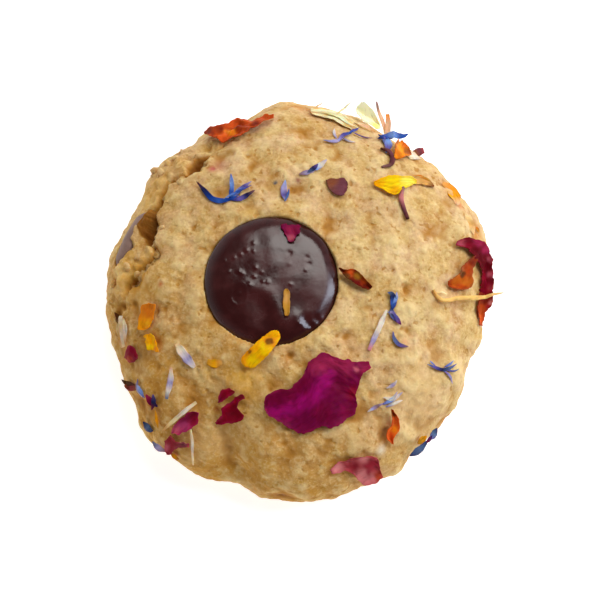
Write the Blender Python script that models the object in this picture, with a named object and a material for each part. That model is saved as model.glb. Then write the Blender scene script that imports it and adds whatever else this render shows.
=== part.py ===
"""Flower cookie: a thick round biscuit with a chocolate button pressed into its top, a chunk of
chocolate in its side, and dried petals and cornflower florets scattered over it.

Lengths are millimetres, turned into Blender's metres once for each mesh by MM. +Z is up, +Y is the far
side, and the origin is the middle of the flat base.
"""

import bmesh
import bpy
import numpy as np
from mathutils import Vector, noise
from mathutils.bvhtree import BVHTree

MM = 0.001

# The dough's side: a flat base, a low belly and a domed top. The foot curves in beneath the belly.
HEIGHT = 22.0
BELLY_HEIGHT = 6.0
FOOT_TUCK = 3.0
FOOT_TURN = 0.96
DOME_FULLNESS = 2.6
SHOULDER_ROUND = 1.9

# The dough's plan: a circle, leaned and drawn oval towards the given angles.
RADIUS = 37.9
LEAN, LEAN_ANGLE = 1.1, 65.0
OVAL, OVAL_ANGLE = 1.26, 88.5
# Lumps and dents of the edge: the angle each faces, its half-width in degrees, and how far it stands out.
EDGE_LUMPS = (
    (1, 9, -0.4),
    (22, 11, 1.6),
    (60, 14, -0.6),
    (92, 8, 1.0),
    (103, 5, -0.7),
    (122, 4, -0.8),
    (137, 6, 0.5),
    (175, 14, 0.55),
    (228, 14, 1.4),
    (252, 6, -1.6),
    (279, 14, 0.9),
    (308, 7, -0.95),
    (325, 7, 0.7),
    (341, 5, -1.2),
)

# The baked surface: each swell has a wavelength and a height.
SWELLS = ((17.0, 0.9), (8.0, 0.6), (4.2, 0.36))
# The relief grows from nothing at the first height to its full depth at the second.
RELIEF_STARTS = 1.0
RELIEF_FULL = 5.0
# Round the crack and the pits the mesh is made finer within these distances, one step for each.
DETAIL_REACHES = (3.0, 1.8)
# How sharply the crack's walls turn in: 1 is a plain V, and less is steeper at the edges.
CRACK_WALLS = 0.7
# The crack that tears the far left shoulder open: plan place, half-width and depth along it.
CRACK = (
    (-16.6, 27.3, 0.8, 0.8),
    (-19.9, 26.6, 1.5, 2.0),
    (-21.6, 24.4, 1.0, 1.6),
    (-25.0, 22.0, 0.9, 1.6),
    (-25.9, 19.7, 1.2, 2.2),
    (-27.0, 17.4, 1.0, 2.0),
    (-27.1, 14.5, 1.2, 2.2),
    (-27.8, 12.0, 1.9, 3.0),
    (-27.3, 8.3, 1.0, 1.8),
    (-27.8, 6.4, 0.7, 1.0),
)
# The soft fold that runs down to the notch in the near edge.
FOLD = (
    (-21.0, -14.5, 4.0, 0.2),
    (-16.4, -21.0, 4.5, 0.8),
    (-12.2, -27.6, 4.5, 1.4),
    (-9.0, -36.0, 4.0, 1.8),
)
# Pits and torn crags: plan place, radius and depth.
PITS = (
    (-16.8, 29.5, 1.0, 1.2),
    (-26.1, 6.4, 0.9, 0.9),
    (-28.7, 4.2, 1.0, 1.0),
    (-30.4, 2.0, 1.5, 1.6),
    (-32.2, 1.0, 1.3, 1.3),
    (-34.2, -3.6, 1.4, 1.2),
    (-33.0, -2.6, 0.8, 0.7),
    (-30.9, -2.4, 0.7, 0.7),
    (-1.0, -14.1, 1.0, 1.1),
    (20.9, -0.8, 1.0, 0.9),
    (1.0, 18.4, 1.4, 0.7),
)

# The chocolate button, and the socket that it is pressed into.
BUTTON_CENTRE = (-4.2, 0.1)
BUTTON_RADIUS = 12.6
BUTTON_FLOOR = 17.6
BUTTON_RIM = 20.9
BUTTON_TOP = 22.9
BUTTON_EDGE = 1.3
BUTTON_UNDERCUT = 2.2
BUTTON_SEGMENTS = 40
SOCKET_LIP = 0.6
LIP_WIDTH = 2.2

# The chunk of chocolate in the far left side.
CHUNK_PLACE = (-31.5, 10.8)
CHUNK_HALF = (6.2, 1.9, 1.9)
CHUNK_SLOPE = -14.0
CHUNK_SINK = 1.1
CHUNK_SQUARE = 0.25
CHUNK_TAPER = 0.25

# The gap between touching pieces, the petals' thickness and their gap above what they lie on.
CLEAR = 0.3
PETAL_THICK = 0.45
PETAL_CLEAR = 0.5
# How far out towards the edge the top is followed, and how far above it the ground is looked for.
EDGE_REACH = 0.975
PROBE = 8.0

# Colours are linear RGB.
COLOURS = {
    "baked dough": (0.62, 0.41, 0.17),
    "dark chocolate": (0.045, 0.014, 0.012),
    "milk chocolate": (0.22, 0.14, 0.10),
    "rose petal": (0.22, 0.01, 0.10),
    "crimson petal": (0.20, 0.004, 0.015),
    "mauve petal": (0.36, 0.11, 0.13),
    "orange petal": (0.62, 0.17, 0.01),
    "rust petal": (0.30, 0.05, 0.008),
    "yellow petal": (0.85, 0.48, 0.01),
    "straw petal": (0.75, 0.62, 0.28),
}

# Thin scraps that are pressed into the dough: a half-width and the plan points that each follows. A third
# number in a point is its height, where the scrap stands free of the dough.
FLORETS = (
    (0.55, ((-18.4, 20.3), (-16.0, 17.9), (-13.6, 16.6), (-11.8, 17.6), (-11.8, 19.6), (-11.9, 21.6))),
    (0.45, ((-12.6, 17.2), (-10.0, 17.4), (-7.7, 17.9))),
    (0.4, ((-11.9, 17.8), (-10.2, 19.2), (-8.2, 19.9))),
    (0.6, ((16.8, 30.2), (18.9, 30.9), (20.4, 31.2))),
    (0.5, ((19.1, 31.4), (19.0, 29.6), (18.4, 28.2))),
    (0.45, ((5.4, 29.2), (8.9, 29.5), (10.6, 31.2), (12.0, 32.4))),
    (0.4, ((9.2, 29.8), (10.6, 29.0), (11.6, 28.8))),
    (0.6, ((0.9, 21.3), (3.1, 22.0), (4.8, 23.4), (6.3, 24.7))),
    (0.7, ((-1.5, 20.3), (-1.8, 18.0), (-1.6, 15.8))),
    (0.5, ((17.4, -2.5), (18.3, -4.4), (18.4, -7.2), (19.7, -8.0))),
    (0.4, ((18.4, -4.4), (19.6, -2.5))),
    (0.45, ((18.4, -9.6), (19.1, -11.7), (21.2, -12.0))),
    (0.5, ((24.9, -14.8), (27.9, -15.2), (29.8, -13.5), (30.5, -14.6))),
    (0.45, ((28.0, -15.2), (29.4, -17.4))),
    (0.6, ((13.7, -23.8), (16.1, -21.9), (19.7, -20.3))),
    (0.5, ((-29.8, -17.4), (-27.9, -20.1))),
    (0.8, ((-27.4, -19.5), (-25.5, -22.3))),
    (0.7, ((-28.4, -24.2), (-26.5, -25.5))),
    (0.8, ((20.6, -28.8), (22.6, -30.6, 9.0), (24.3, -29.4))),
    (0.7, ((24.0, -26.4), (25.2, -27.2), (26.0, -27.6, 9.2), (26.9, -26.2))),
)
STRAWS = (
    (0.5, ((17.0, -5.7), (15.6, -9.2), (13.9, -12.8))),
    (0.8, ((-21.6, -11.4), (-20.0, -13.4), (-18.5, -15.8))),
    (0.8, ((-22.6, -15.4), (-22.8, -18.2), (-23.1, -20.8))),
    (0.4, ((-18.2, -22.4), (-20.9, -23.4), (-23.6, -25.3))),
    (0.4, ((-19.0, -25.6), (-18.6, -29.4), (-18.6, -32.0))),
    (0.7, ((-33.6, -6.2), (-32.4, -8.3), (-31.3, -10.0))),
    (0.4, ((-25.7, -22.8), (-25.2, -25.7))),
    (0.4, ((15.9, 38.6, 11.6), (17.0, 36.2, 10.8), (17.9, 33.6), (18.0, 32.0))),
    (0.6, ((18.4, 36.6, 11.4), (19.2, 33.6), (19.5, 31.8))),
    (0.5, ((22.2, 22.3), (24.6, 22.2), (26.9, 21.2))),
    (0.7, ((23.0, 25.6), (24.6, 27.8), (25.6, 30.0, 12.4))),
)
STEMS = (
    (0.5, ((20.5, 18.9), (20.1, 16.9), (20.8, 14.5), (21.3, 13.0))),
    (0.5, ((16.2, 27.3), (17.8, 27.2), (18.8, 25.6), (18.4, 23.9), (16.4, 23.1))),
    (0.8, ((-16.0, -15.0), (-13.2, -15.1))),
    (0.8, ((-26.2, -27.2), (-24.3, -29.0))),
    (0.9, ((-32.2, -15.9), (-29.8, -18.4))),
)
# How far a scrap's middle line lies above the dough, and how much of its width is left at its ends.
SCRAP_RISE = 0.12
SCRAP_TIP = 0.45

# Each petal: its colour, its two long edges as plan points from one end to the other, how far its start,
# middle and end rise off the dough, how far its edges curl up, and its segments along and across.
PETALS = {
    "rose_petal_large": (
        "rose petal",
        ((-5.2, -22.4), (-3.5, -20.5), (-1.3, -20.7), (2.1, -17.8), (3.3, -15.9), (6.8, -13.8), (8.9, -14.7),
         (12.4, -15.2), (14.6, -15.3)),
        ((-5.1, -23.3), (-4.5, -25.0), (-0.5, -27.8), (2.1, -28.6), (5.1, -26.8), (6.6, -27.5), (10.5, -25.5),
         (11.7, -23.4), (11.5, -21.7), (12.6, -18.1), (14.9, -16.3)),
        (0.2, 0.0, 0.5), 0.5, (12, 6),
    ),
    "rose_petal_mauve": (
        "mauve petal",
        ((7.1, -34.0), (9.4, -32.8), (12.5, -31.6), (15.1, -31.1)),
        ((7.3, -34.5), (11.0, -34.5), (13.2, -36.0), (14.4, -35.8), (16.0, -34.2), (15.7, -32.0)),
        (0.3, 0.1, 0.4), 0.4, (7, 4),
    ),
    "rose_petal_burgundy": (
        "crimson petal",
        ((30.9, 9.0), (33.7, 10.3), (36.6, 9.8, 12.4), (38.1, 7.0, 10.4), (38.5, 3.0, 9.6), (37.6, 0.2, 11.4)),
        ((31.2, 8.5), (32.7, 7.5), (34.4, 6.0), (35.5, 3.6), (35.6, 0.4)),
        (0.2, 0.5, 0.2), 0.6, (9, 4),
    ),
    "rust_petal_right": (
        "rust petal",
        ((37.3, -1.2, 10.6), (38.2, -2.6, 9.2), (37.2, -3.8, 9.4), (36.7, -5.7, 8.8)),
        ((35.2, -1.0), (35.2, -3.0), (35.9, -5.5)),
        (0.2, 0.3, 0.3), 0.2, (5, 3),
    ),
    "orange_petal_right": (
        "orange petal",
        ((32.1, 6.6), (31.3, 4.6), (28.4, 1.1)),
        ((33.2, 5.6), (33.2, 3.0), (32.4, 0.7), (30.2, -0.4)),
        (0.1, 0.5, 0.2), 0.7, (6, 4),
    ),
    "orange_petal_back": (
        "orange petal",
        ((-17.2, 32.2), (-14.0, 33.8), (-11.0, 35.8), (-8.0, 35.2), (-3.8, 34.7)),
        ((-16.6, 31.6), (-13.6, 30.2), (-10.0, 31.0), (-8.2, 32.3), (-3.8, 34.1)),
        (0.2, 0.3, 0.6), 0.6, (9, 4),
    ),
    "rust_petal_middle": (
        "rust petal",
        ((8.9, 2.0), (10.9, 1.9), (12.7, 0.8), (14.4, -1.1)),
        ((9.2, 1.2), (10.4, -0.2), (12.0, -1.4), (13.7, -2.0)),
        (0.5, 0.4, 0.1), 0.4, (7, 4),
    ),
    "orange_petal_front": (
        "orange petal",
        ((17.5, -22.8), (17.7, -25.3), (16.8, -27.2), (17.5, -29.4)),
        ((18.1, -22.8), (18.9, -24.2), (19.0, -26.4), (18.1, -29.5)),
        (0.2, 0.4, 0.2), 0.5, (7, 3),
    ),
    "orange_petal_far": (
        "orange petal",
        ((20.3, 30.6), (19.7, 28.6), (19.6, 26.6)),
        ((21.2, 30.6), (22.6, 29.0), (22.0, 26.6)),
        (0.6, 0.5, 0.2), 0.5, (6, 4),
    ),
    "yellow_petal_back": (
        "yellow petal",
        ((15.3, 19.8), (17.0, 21.2), (18.7, 21.9), (21.0, 21.8), (23.2, 21.0)),
        ((15.4, 19.3), (16.8, 18.2), (18.6, 17.8), (20.6, 19.2), (23.2, 20.3)),
        (0.3, 0.5, 0.4), 0.9, (7, 4),
    ),
    "yellow_petal_front": (
        "yellow petal",
        ((-3.2, -9.2), (-6.0, -11.2), (-8.7, -13.4), (-10.3, -15.3)),
        ((-2.0, -10.6), (-3.6, -13.2), (-5.6, -15.4), (-7.6, -17.0)),
        (0.3, 0.6, 0.3), -0.5, (8, 4),
    ),
    "crimson_petal_upper": (
        "crimson petal",
        ((-12.9, -19.8), (-14.3, -22.3)),
        ((-10.6, -20.1), (-12.3, -22.1)),
        (0.1, 0.1, 0.1), 0.2, (4, 3),
    ),
    "crimson_petal_lower": (
        "crimson petal",
        ((-10.4, -21.7), (-12.1, -22.9), (-13.4, -24.3), (-14.7, -26.1)),
        ((-9.3, -21.2), (-10.4, -22.6), (-9.1, -24.7), (-11.8, -25.9)),
        (0.1, 0.3, 0.1), 0.3, (6, 3),
    ),
    "magenta_petal": (
        "rose petal",
        ((-20.4, -23.9), (-22.4, -26.9)),
        ((-17.6, -24.0), (-19.6, -26.8)),
        (0.2, 0.1, 0.2), 0.3, (4, 3),
    ),
    "crimson_petal_left": (
        "crimson petal",
        ((-23.9, -27.9), (-21.5, -28.1), (-19.6, -28.3)),
        ((-23.6, -28.5), (-21.8, -30.4), (-19.6, -29.0)),
        (0.2, 0.2, 0.2), 0.2, (5, 3),
    ),
    "crimson_petal_side": (
        "crimson petal",
        ((-32.3, -11.6), (-31.0, -10.6), (-29.6, -11.6)),
        ((-32.1, -12.4), (-31.0, -13.1), (-29.7, -12.4)),
        (0.2, 0.4, 0.2), -0.3, (5, 3),
    ),
    "orange_petal_left_upper": (
        "orange petal",
        ((-28.3, -3.2), (-28.5, -5.5), (-28.8, -8.0)),
        ((-26.1, -3.4), (-26.2, -6.0), (-26.3, -8.2)),
        (0.2, 0.1, 0.2), 0.3, (5, 3),
    ),
    "orange_petal_left_lower": (
        "yellow petal",
        ((-27.8, -9.2), (-27.5, -12.1)),
        ((-25.3, -9.4), (-25.3, -12.4)),
        (0.3, 0.1, 0.3), 0.3, (4, 3),
    ),
    "pale_petal": (
        "straw petal",
        ((12.6, 34.4), (13.0, 36.6, 13.0), (13.8, 38.9, 14.2)),
        ((15.7, 33.5), (15.2, 36.0, 13.2), (14.3, 38.9, 14.4)),
        (0.2, 0.6, 0.4), 0.4, (7, 4),
    ),
    "straw_petal": (
        "straw petal",
        ((4.4, 37.5), (8.0, 36.9), (11.6, 35.0)),
        ((4.2, 37.0), (7.5, 35.5), (11.0, 33.8)),
        (0.3, 0.3, 0.3), 0.3, (7, 3),
    ),
    "rose_flake": (
        "rose petal",
        ((-2.3, 10.6), (-1.7, 8.6), (-0.9, 7.2)),
        ((1.2, 10.4), (1.0, 8.9), (-0.1, 7.2)),
        (0.2, 0.0, 0.1), 0.2, (4, 3),
    ),
    "yellow_sliver": (
        "straw petal",
        ((-1.8, -2.2), (-1.9, -4.6), (-1.7, -6.9)),
        ((-0.7, -2.2), (-0.5, -4.6), (-0.7, -6.9)),
        (0.1, 0.1, 0.1), 0.1, (4, 2),
    ),
    "brown_flake": (
        "rust petal",
        ((5.9, 20.1), (7.8, 20.5), (9.7, 20.3), (10.2, 19.3)),
        ((6.5, 18.9), (7.4, 17.5), (9.4, 17.1), (10.2, 18.7)),
        (0.1, 0.1, 0.1), 0.2, (5, 3),
    ),
}

# The dried thread that lies across the right-hand petals and out past the edge.
THREAD_RADIUS = 0.4
THREAD_TAPER = 0.5
THREAD = (
    (26.2, -1.2, 19.0),
    (27.4, -2.4, 18.7),
    (28.9, -2.6, 18.2),
    (30.8, -2.0, 17.4),
    (33.8, -1.0, 15.6),
    (36.8, -0.2, 14.2),
    (39.2, 0.2, 13.4),
)


def clear_scene():
    for obj in list(bpy.data.objects):
        bpy.data.objects.remove(obj, do_unlink=True)


def material(name):
    """The Principled material of this name."""
    if name in bpy.data.materials:
        return bpy.data.materials[name]
    made = bpy.data.materials.new(name)
    made.use_nodes = True
    shader = made.node_tree.nodes["Principled BSDF"]
    shader.inputs["Base Color"].default_value = (*COLOURS[name], 1.0)
    shader.inputs["Roughness"].default_value = 0.3 if "chocolate" in name else 0.75
    return made


def finish(bm, name, finish_name):
    """Turns a bmesh in millimetres into a named object in metres."""
    bmesh.ops.scale(bm, vec=(MM, MM, MM), verts=bm.verts)
    mesh = bpy.data.meshes.new(name)
    bm.to_mesh(mesh)
    bm.free()
    mesh.shade_smooth()
    obj = bpy.data.objects.new(name, mesh)
    bpy.context.scene.collection.objects.link(obj)
    obj.data.materials.append(material(finish_name))
    return obj


def outline(angle):
    """The dough's radius in plan towards an angle in degrees."""
    radius = RADIUS + LEAN * np.cos(np.radians(angle - LEAN_ANGLE))
    radius = radius + OVAL * np.cos(2 * np.radians(angle - OVAL_ANGLE))
    for towards, half_width, out in EDGE_LUMPS:
        off = (angle - towards + 180) % 360 - 180
        radius = radius + out * np.exp(-((off / half_width) ** 2))
    return radius


def dome_height(share):
    """The smooth top's height at a share of the way from the middle to the edge."""
    fall = np.clip(1 - np.clip(share, 0, 1) ** DOME_FULLNESS, 0, 1)
    return BELLY_HEIGHT + (HEIGHT - BELLY_HEIGHT) * fall ** (1 / SHOULDER_ROUND)


def side_profile():
    """The half section from the top's middle, over the belly, to the base's middle: for each point its share
    of the length, its share of the plan radius, its inset from it, and its height."""
    turn = np.linspace(0, np.pi / 2, 60)
    share = np.sin(turn) ** (2 / DOME_FULLNESS)
    rows = [np.stack([share, 0 * share, dome_height(share)], -1)]
    down = np.linspace(0, 1, 16)[1:]
    tuck = FOOT_TUCK * (1 - np.sqrt(1 - FOOT_TURN * down**2))
    rows.append(np.stack([1 + 0 * down, tuck, BELLY_HEIGHT * (1 - down)], -1))
    inward = np.linspace(1, 0, 12)[1:]
    rows.append(np.stack([inward, tuck[-1] * inward, 0 * inward], -1))
    rows = np.concatenate(rows)
    step = np.hypot(np.diff(rows[:, 0] * RADIUS - rows[:, 1]), np.diff(rows[:, 2]))
    length = np.concatenate([[0], np.cumsum(step)])
    return np.column_stack([length / length[-1], rows])


PROFILE = side_profile()


def at_profile(share, angle):
    """Points of the smooth dough at shares of the half section and plan angles in degrees."""
    scale, inset, height = (np.interp(share, PROFILE[:, 0], PROFILE[:, column]) for column in (1, 2, 3))
    radius = outline(angle) * scale - inset
    turn = np.radians(angle)
    return np.stack([radius * np.cos(turn), radius * np.sin(turn), height], -1)


def smooth_dough(directions):
    """Points and outward normals of the smooth dough towards the given unit vectors."""
    x, y, z = directions.T
    share = np.arccos(np.clip(z, -1, 1)) / np.pi
    angle = np.degrees(np.arctan2(y, x))
    step = 0.004
    along = at_profile(np.clip(share + step, 0, 1), angle) - at_profile(np.clip(share - step, 0, 1), angle)
    turn = np.radians(angle)
    outward = along[:, 0] * np.cos(turn) + along[:, 1] * np.sin(turn)
    normals = np.stack([-along[:, 2] * np.cos(turn), -along[:, 2] * np.sin(turn), outward], -1)
    return at_profile(share, angle), normals / np.linalg.norm(normals, axis=1, keepdims=True)


def top_point(x, y):
    """A point of the smooth top over a plan place, and the outward normal there."""
    angle = np.degrees(np.arctan2(y, x))
    share = min(np.hypot(x, y) / outline(angle), EDGE_REACH)
    slope = (dome_height(share + 0.005) - dome_height(share - 0.005)) / (0.01 * outline(angle))
    turn = np.radians(angle)
    radius = share * outline(angle)
    point = Vector((radius * np.cos(turn), radius * np.sin(turn), dome_height(share)))
    return point, Vector((-slope * np.cos(turn), -slope * np.sin(turn), 1.0)).normalized()


def along_route(points, route):
    """How far each point is from a route over the top, and the width and depth of the route there."""
    knots = np.array([top_point(x, y)[0] for x, y, _, _ in route])
    sizes = np.array([(width, depth) for _, _, width, depth in route])
    distance = np.full(len(points), np.inf)
    size = np.zeros((len(points), 2))
    for start, end, size_a, size_b in zip(knots, knots[1:], sizes, sizes[1:]):
        run = end - start
        share = np.clip((points - start) @ run / (run @ run), 0, 1)
        gap = np.linalg.norm(points - start - share[:, None] * run, axis=1)
        nearer = gap < distance
        distance[nearer] = gap[nearer]
        size[nearer] = (size_a + share[:, None] * (size_b - size_a))[nearer]
    return distance, size[:, 0], size[:, 1]


def relief(points):
    """How far the baked surface stands out from the smooth form at each point."""
    out = np.zeros(len(points))
    for wavelength, height in SWELLS:
        out += height * np.array([noise.noise(Vector(point) / wavelength) for point in points])
    distance, width, depth = along_route(points, CRACK)
    out -= depth * np.clip(1 - distance / width, 0, 1) ** CRACK_WALLS
    distance, width, depth = along_route(points, FOLD)
    out -= depth * np.exp(-((distance / width) ** 2))
    for x, y, radius, depth in PITS:
        distance = np.linalg.norm(points - np.array(top_point(x, y)[0]), axis=1)
        out -= depth * np.exp(-((distance / radius) ** 2))
    from_button = np.hypot(points[:, 0] - BUTTON_CENTRE[0], points[:, 1] - BUTTON_CENTRE[1])
    lip = np.exp(-(((from_button - BUTTON_RADIUS - LIP_WIDTH / 2) / LIP_WIDTH) ** 2))
    out += SOCKET_LIP * lip * (points[:, 2] > HEIGHT / 2)
    return out * np.clip((points[:, 2] - RELIEF_STARTS) / (RELIEF_FULL - RELIEF_STARTS), 0, 1)


def needs_detail(bm, reach):
    """The edges of the unit sphere that land within reach of the crack or a pit."""
    bm.edges.ensure_lookup_table()
    middles = np.array([((a.co + b.co) / 2).normalized() for a, b in (edge.verts for edge in bm.edges)])
    points, _ = smooth_dough(middles)
    near = along_route(points, CRACK)[0] < reach
    for x, y, radius, _ in PITS:
        near |= np.linalg.norm(points - np.array(top_point(x, y)[0]), axis=1) < reach * radius / 2
    return [edge for edge, wanted in zip(bm.edges, near) if wanted]


def dough_body():
    """The baked dough as a bmesh, with its relief and one flat face beneath."""
    bm = bmesh.new()
    bmesh.ops.create_icosphere(bm, subdivisions=5, radius=1.0)
    for reach in DETAIL_REACHES:
        bmesh.ops.subdivide_edges(bm, edges=needs_detail(bm, reach), cuts=1, use_grid_fill=True)
        bmesh.ops.triangulate(bm, faces=bm.faces)
        for vert in bm.verts:
            vert.co.normalize()
    points, normals = smooth_dough(np.array([vert.co for vert in bm.verts]))
    points += normals * relief(points)[:, None]
    for vert, point in zip(bm.verts, points):
        vert.co = point
    base = [face for face in bm.faces if all(vert.co.z < 1e-6 for vert in face.verts)]
    bmesh.ops.dissolve_faces(bm, faces=base, use_verts=True)
    return bm


def turned(bm, profile, segments):
    """Turns a closed half section of (radius, height) points round the Z axis."""
    verts = [bm.verts.new((radius, 0.0, height)) for radius, height in profile]
    edges = [bm.edges.new(pair) for pair in zip(verts, verts[1:])]
    bmesh.ops.spin(bm, geom=verts + edges, axis=(0, 0, 1), cent=(0, 0, 0), steps=segments, angle=2 * np.pi,
                   use_merge=True)
    bmesh.ops.remove_doubles(bm, verts=bm.verts, dist=1e-4)
    bmesh.ops.recalc_face_normals(bm, faces=bm.faces)


def button_body():
    """The chocolate button: flat beneath, round at the rim and gently crowned."""
    rim = [
        (BUTTON_RADIUS - BUTTON_EDGE * (1 - np.cos(turn)), BUTTON_RIM + BUTTON_EDGE * np.sin(turn))
        for turn in np.linspace(-0.6, np.pi / 2 - 0.25, 6)
    ]
    crown = [
        (radius, BUTTON_TOP - (BUTTON_TOP - rim[-1][1]) * (radius / rim[-1][0]) ** 2)
        for radius in np.linspace(rim[-1][0], 0, 7)[1:]
    ]
    bm = bmesh.new()
    turned(bm, [(0.0, BUTTON_FLOOR), (BUTTON_RADIUS - BUTTON_UNDERCUT, BUTTON_FLOOR), *rim, *crown], BUTTON_SEGMENTS)
    bmesh.ops.translate(bm, verts=bm.verts, vec=(*BUTTON_CENTRE, 0.0))
    return bm


def socket_cutter():
    """The hole that the button sits in, a little wider and deeper than the button."""
    bm = bmesh.new()
    depth = 2 * HEIGHT
    bmesh.ops.create_cone(bm, cap_ends=True, segments=BUTTON_SEGMENTS, radius1=BUTTON_RADIUS + CLEAR,
                          radius2=BUTTON_RADIUS + CLEAR, depth=depth)
    floor = BUTTON_FLOOR - CLEAR
    bmesh.ops.translate(bm, verts=bm.verts, vec=(*BUTTON_CENTRE, floor + depth / 2))
    return bm


def chunk_body(grow):
    """The chocolate chunk, or with grow the pocket round it: a flattened lump, wider at its far end."""
    point, normal = top_point(*CHUNK_PLACE)
    level = Vector((0, 0, 1)).cross(normal).normalized()
    turn = np.radians(CHUNK_SLOPE)
    along = level * np.cos(turn) + normal.cross(level) * np.sin(turn)
    across = normal.cross(along)
    middle = point - normal * CHUNK_SINK
    bm = bmesh.new()
    bmesh.ops.create_icosphere(bm, subdivisions=3, radius=1.0)
    for vert in bm.verts:
        square = vert.co / max(abs(vert.co.x), abs(vert.co.y), abs(vert.co.z))
        shape = vert.co.lerp(square, CHUNK_SQUARE)
        shape.y *= 1 - CHUNK_TAPER * shape.x
        a, b, c = (shape[i] * (CHUNK_HALF[i] + grow) for i in range(3))
        vert.co = middle + along * a + across * b + normal * c
    return bm


def apply_modifiers(obj):
    """Makes the object's evaluated shape its own mesh."""
    graph = bpy.context.evaluated_depsgraph_get()
    mesh = bpy.data.meshes.new_from_object(obj.evaluated_get(graph))
    obj.modifiers.clear()
    obj.data = mesh


def cut(obj, bm, name):
    """Takes a cutter's shape out of the object."""
    cutter = finish(bm, name, "baked dough")
    cutter.hide_render = True
    cutter.display_type = "WIRE"
    boolean = obj.modifiers.new(name, "BOOLEAN")
    boolean.operation = "DIFFERENCE"
    boolean.object = cutter
    apply_modifiers(obj)
    bpy.data.objects.remove(cutter, do_unlink=True)


def ground_under(*objects):
    """A tree, in millimetres, of the surfaces that petals lie on."""
    verts, faces = [], []
    for obj in objects:
        start = len(verts)
        verts += [vert.co / MM for vert in obj.data.vertices]
        faces += [[start + index for index in face.vertices] for face in obj.data.polygons]
    return BVHTree.FromPolygons(verts, faces)


def landing(ground, x, y, rise):
    """The place this far above the ground over a plan place. Past the dough's edge it runs on outward."""
    point, normal = top_point(x, y)
    hit = ground.ray_cast(point + normal * PROBE, -normal)[0]
    beyond = Vector((x - point.x, y - point.y, 0.0))
    return (hit or point) + normal * rise + beyond


def scrap_body(ground, half_width, route):
    """A thin scrap along a route over the dough, tapered to both ends: a four-sided closed tube."""
    curve = bpy.data.curves.new("scrap", "CURVE")
    curve.dimensions = "3D"
    curve.bevel_depth = half_width
    curve.bevel_resolution = 0
    curve.use_fill_caps = True
    spline = curve.splines.new("POLY")
    spline.points.add(len(route) - 1)
    for index, (knot, place) in enumerate(zip(spline.points, route)):
        at = landing(ground, place[0], place[1], SCRAP_RISE)
        if len(place) == 3:
            at = Vector(place)
        knot.co = (*at, 1.0)
        knot.radius = SCRAP_TIP if index in (0, len(route) - 1) else 1.0
    guide = bpy.data.objects.new("scrap", curve)
    mesh = bpy.data.meshes.new_from_object(guide)
    bm = bmesh.new()
    bm.from_mesh(mesh)
    bmesh.ops.remove_doubles(bm, verts=bm.verts, dist=0.01)
    bmesh.ops.recalc_face_normals(bm, faces=bm.faces)
    bpy.data.objects.remove(guide, do_unlink=True)
    bpy.data.meshes.remove(mesh)
    return bm


def fuse_scraps(dough, ground):
    """Joins the small scraps to the dough, so that they are one body with it."""
    scraps = bpy.data.collections.new("scraps")
    bpy.context.scene.collection.children.link(scraps)
    for group in (FLORETS, STRAWS, STEMS):
        for number, (half_width, route) in enumerate(group):
            scrap = finish(scrap_body(ground, half_width, route), f"scrap_{number}", "baked dough")
            bpy.context.scene.collection.objects.unlink(scrap)
            scraps.objects.link(scrap)
    boolean = dough.modifiers.new("scraps", "BOOLEAN")
    boolean.operation = "UNION"
    boolean.operand_type = "COLLECTION"
    boolean.collection = scraps
    boolean.solver = "MANIFOLD"
    apply_modifiers(dough)
    for scrap in list(scraps.objects):
        bpy.data.objects.remove(scrap, do_unlink=True)
    bpy.data.collections.remove(scraps)


def edge_place(ground, edge, share, rise):
    """The place on the ground at a share of an edge's length. A point that names its height is lifted to it."""
    plan = np.array([place[:2] for place in edge])
    length = np.concatenate([[0], np.cumsum(np.linalg.norm(np.diff(plan, axis=0), axis=1))])
    at = share * length[-1]
    x, y = (np.interp(at, length, plan[:, axis]) for axis in (0, 1))
    lifts = [place[2] - landing(ground, place[0], place[1], 0).z if len(place) == 3 else 0.0 for place in edge]
    return x, y, rise, np.interp(at, length, lifts)


def petal_body(ground, first, second, rises, curl, segments):
    """A thin wavy petal lofted between its two long edges and laid on the ground."""
    bm = bmesh.new()
    bmesh.ops.create_grid(bm, x_segments=segments[0], y_segments=segments[1], size=1.0)
    for vert in bm.verts:
        along, across = (vert.co.x + 1) / 2, (vert.co.y + 1) / 2
        rise = PETAL_CLEAR + PETAL_THICK + np.interp(along, (0, 0.5, 1), rises)
        rise += abs(curl) * ((2 * across - 1) ** 2 if curl > 0 else 1 - (2 * across - 1) ** 2)
        a, b = (np.array(edge_place(ground, edge, along, rise)) for edge in (first, second))
        x, y, rise, lift = a + across * (b - a)
        vert.co = landing(ground, x, y, rise) + Vector((0, 0, lift))
    bmesh.ops.recalc_face_normals(bm, faces=bm.faces)
    if sum(face.normal.z for face in bm.faces) < 0:
        bmesh.ops.reverse_faces(bm, faces=bm.faces)
    bmesh.ops.triangulate(bm, faces=bm.faces)
    bmesh.ops.solidify(bm, geom=bm.faces, thickness=PETAL_THICK)
    bmesh.ops.recalc_face_normals(bm, faces=bm.faces)
    return bm


def thread():
    """The dried thread, a thin tapered tube."""
    curve = bpy.data.curves.new("pale_thread", "CURVE")
    curve.dimensions = "3D"
    curve.bevel_depth = THREAD_RADIUS * MM
    curve.bevel_resolution = 1
    curve.use_fill_caps = True
    spline = curve.splines.new("POLY")
    spline.points.add(len(THREAD) - 1)
    for index, (knot, place) in enumerate(zip(spline.points, THREAD)):
        knot.co = (*(Vector(place) * MM), 1.0)
        knot.radius = 1.0 - THREAD_TAPER * index / (len(THREAD) - 1)
    obj = bpy.data.objects.new("pale_thread", curve)
    bpy.context.scene.collection.objects.link(obj)
    curve.materials.append(material("straw petal"))


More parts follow.
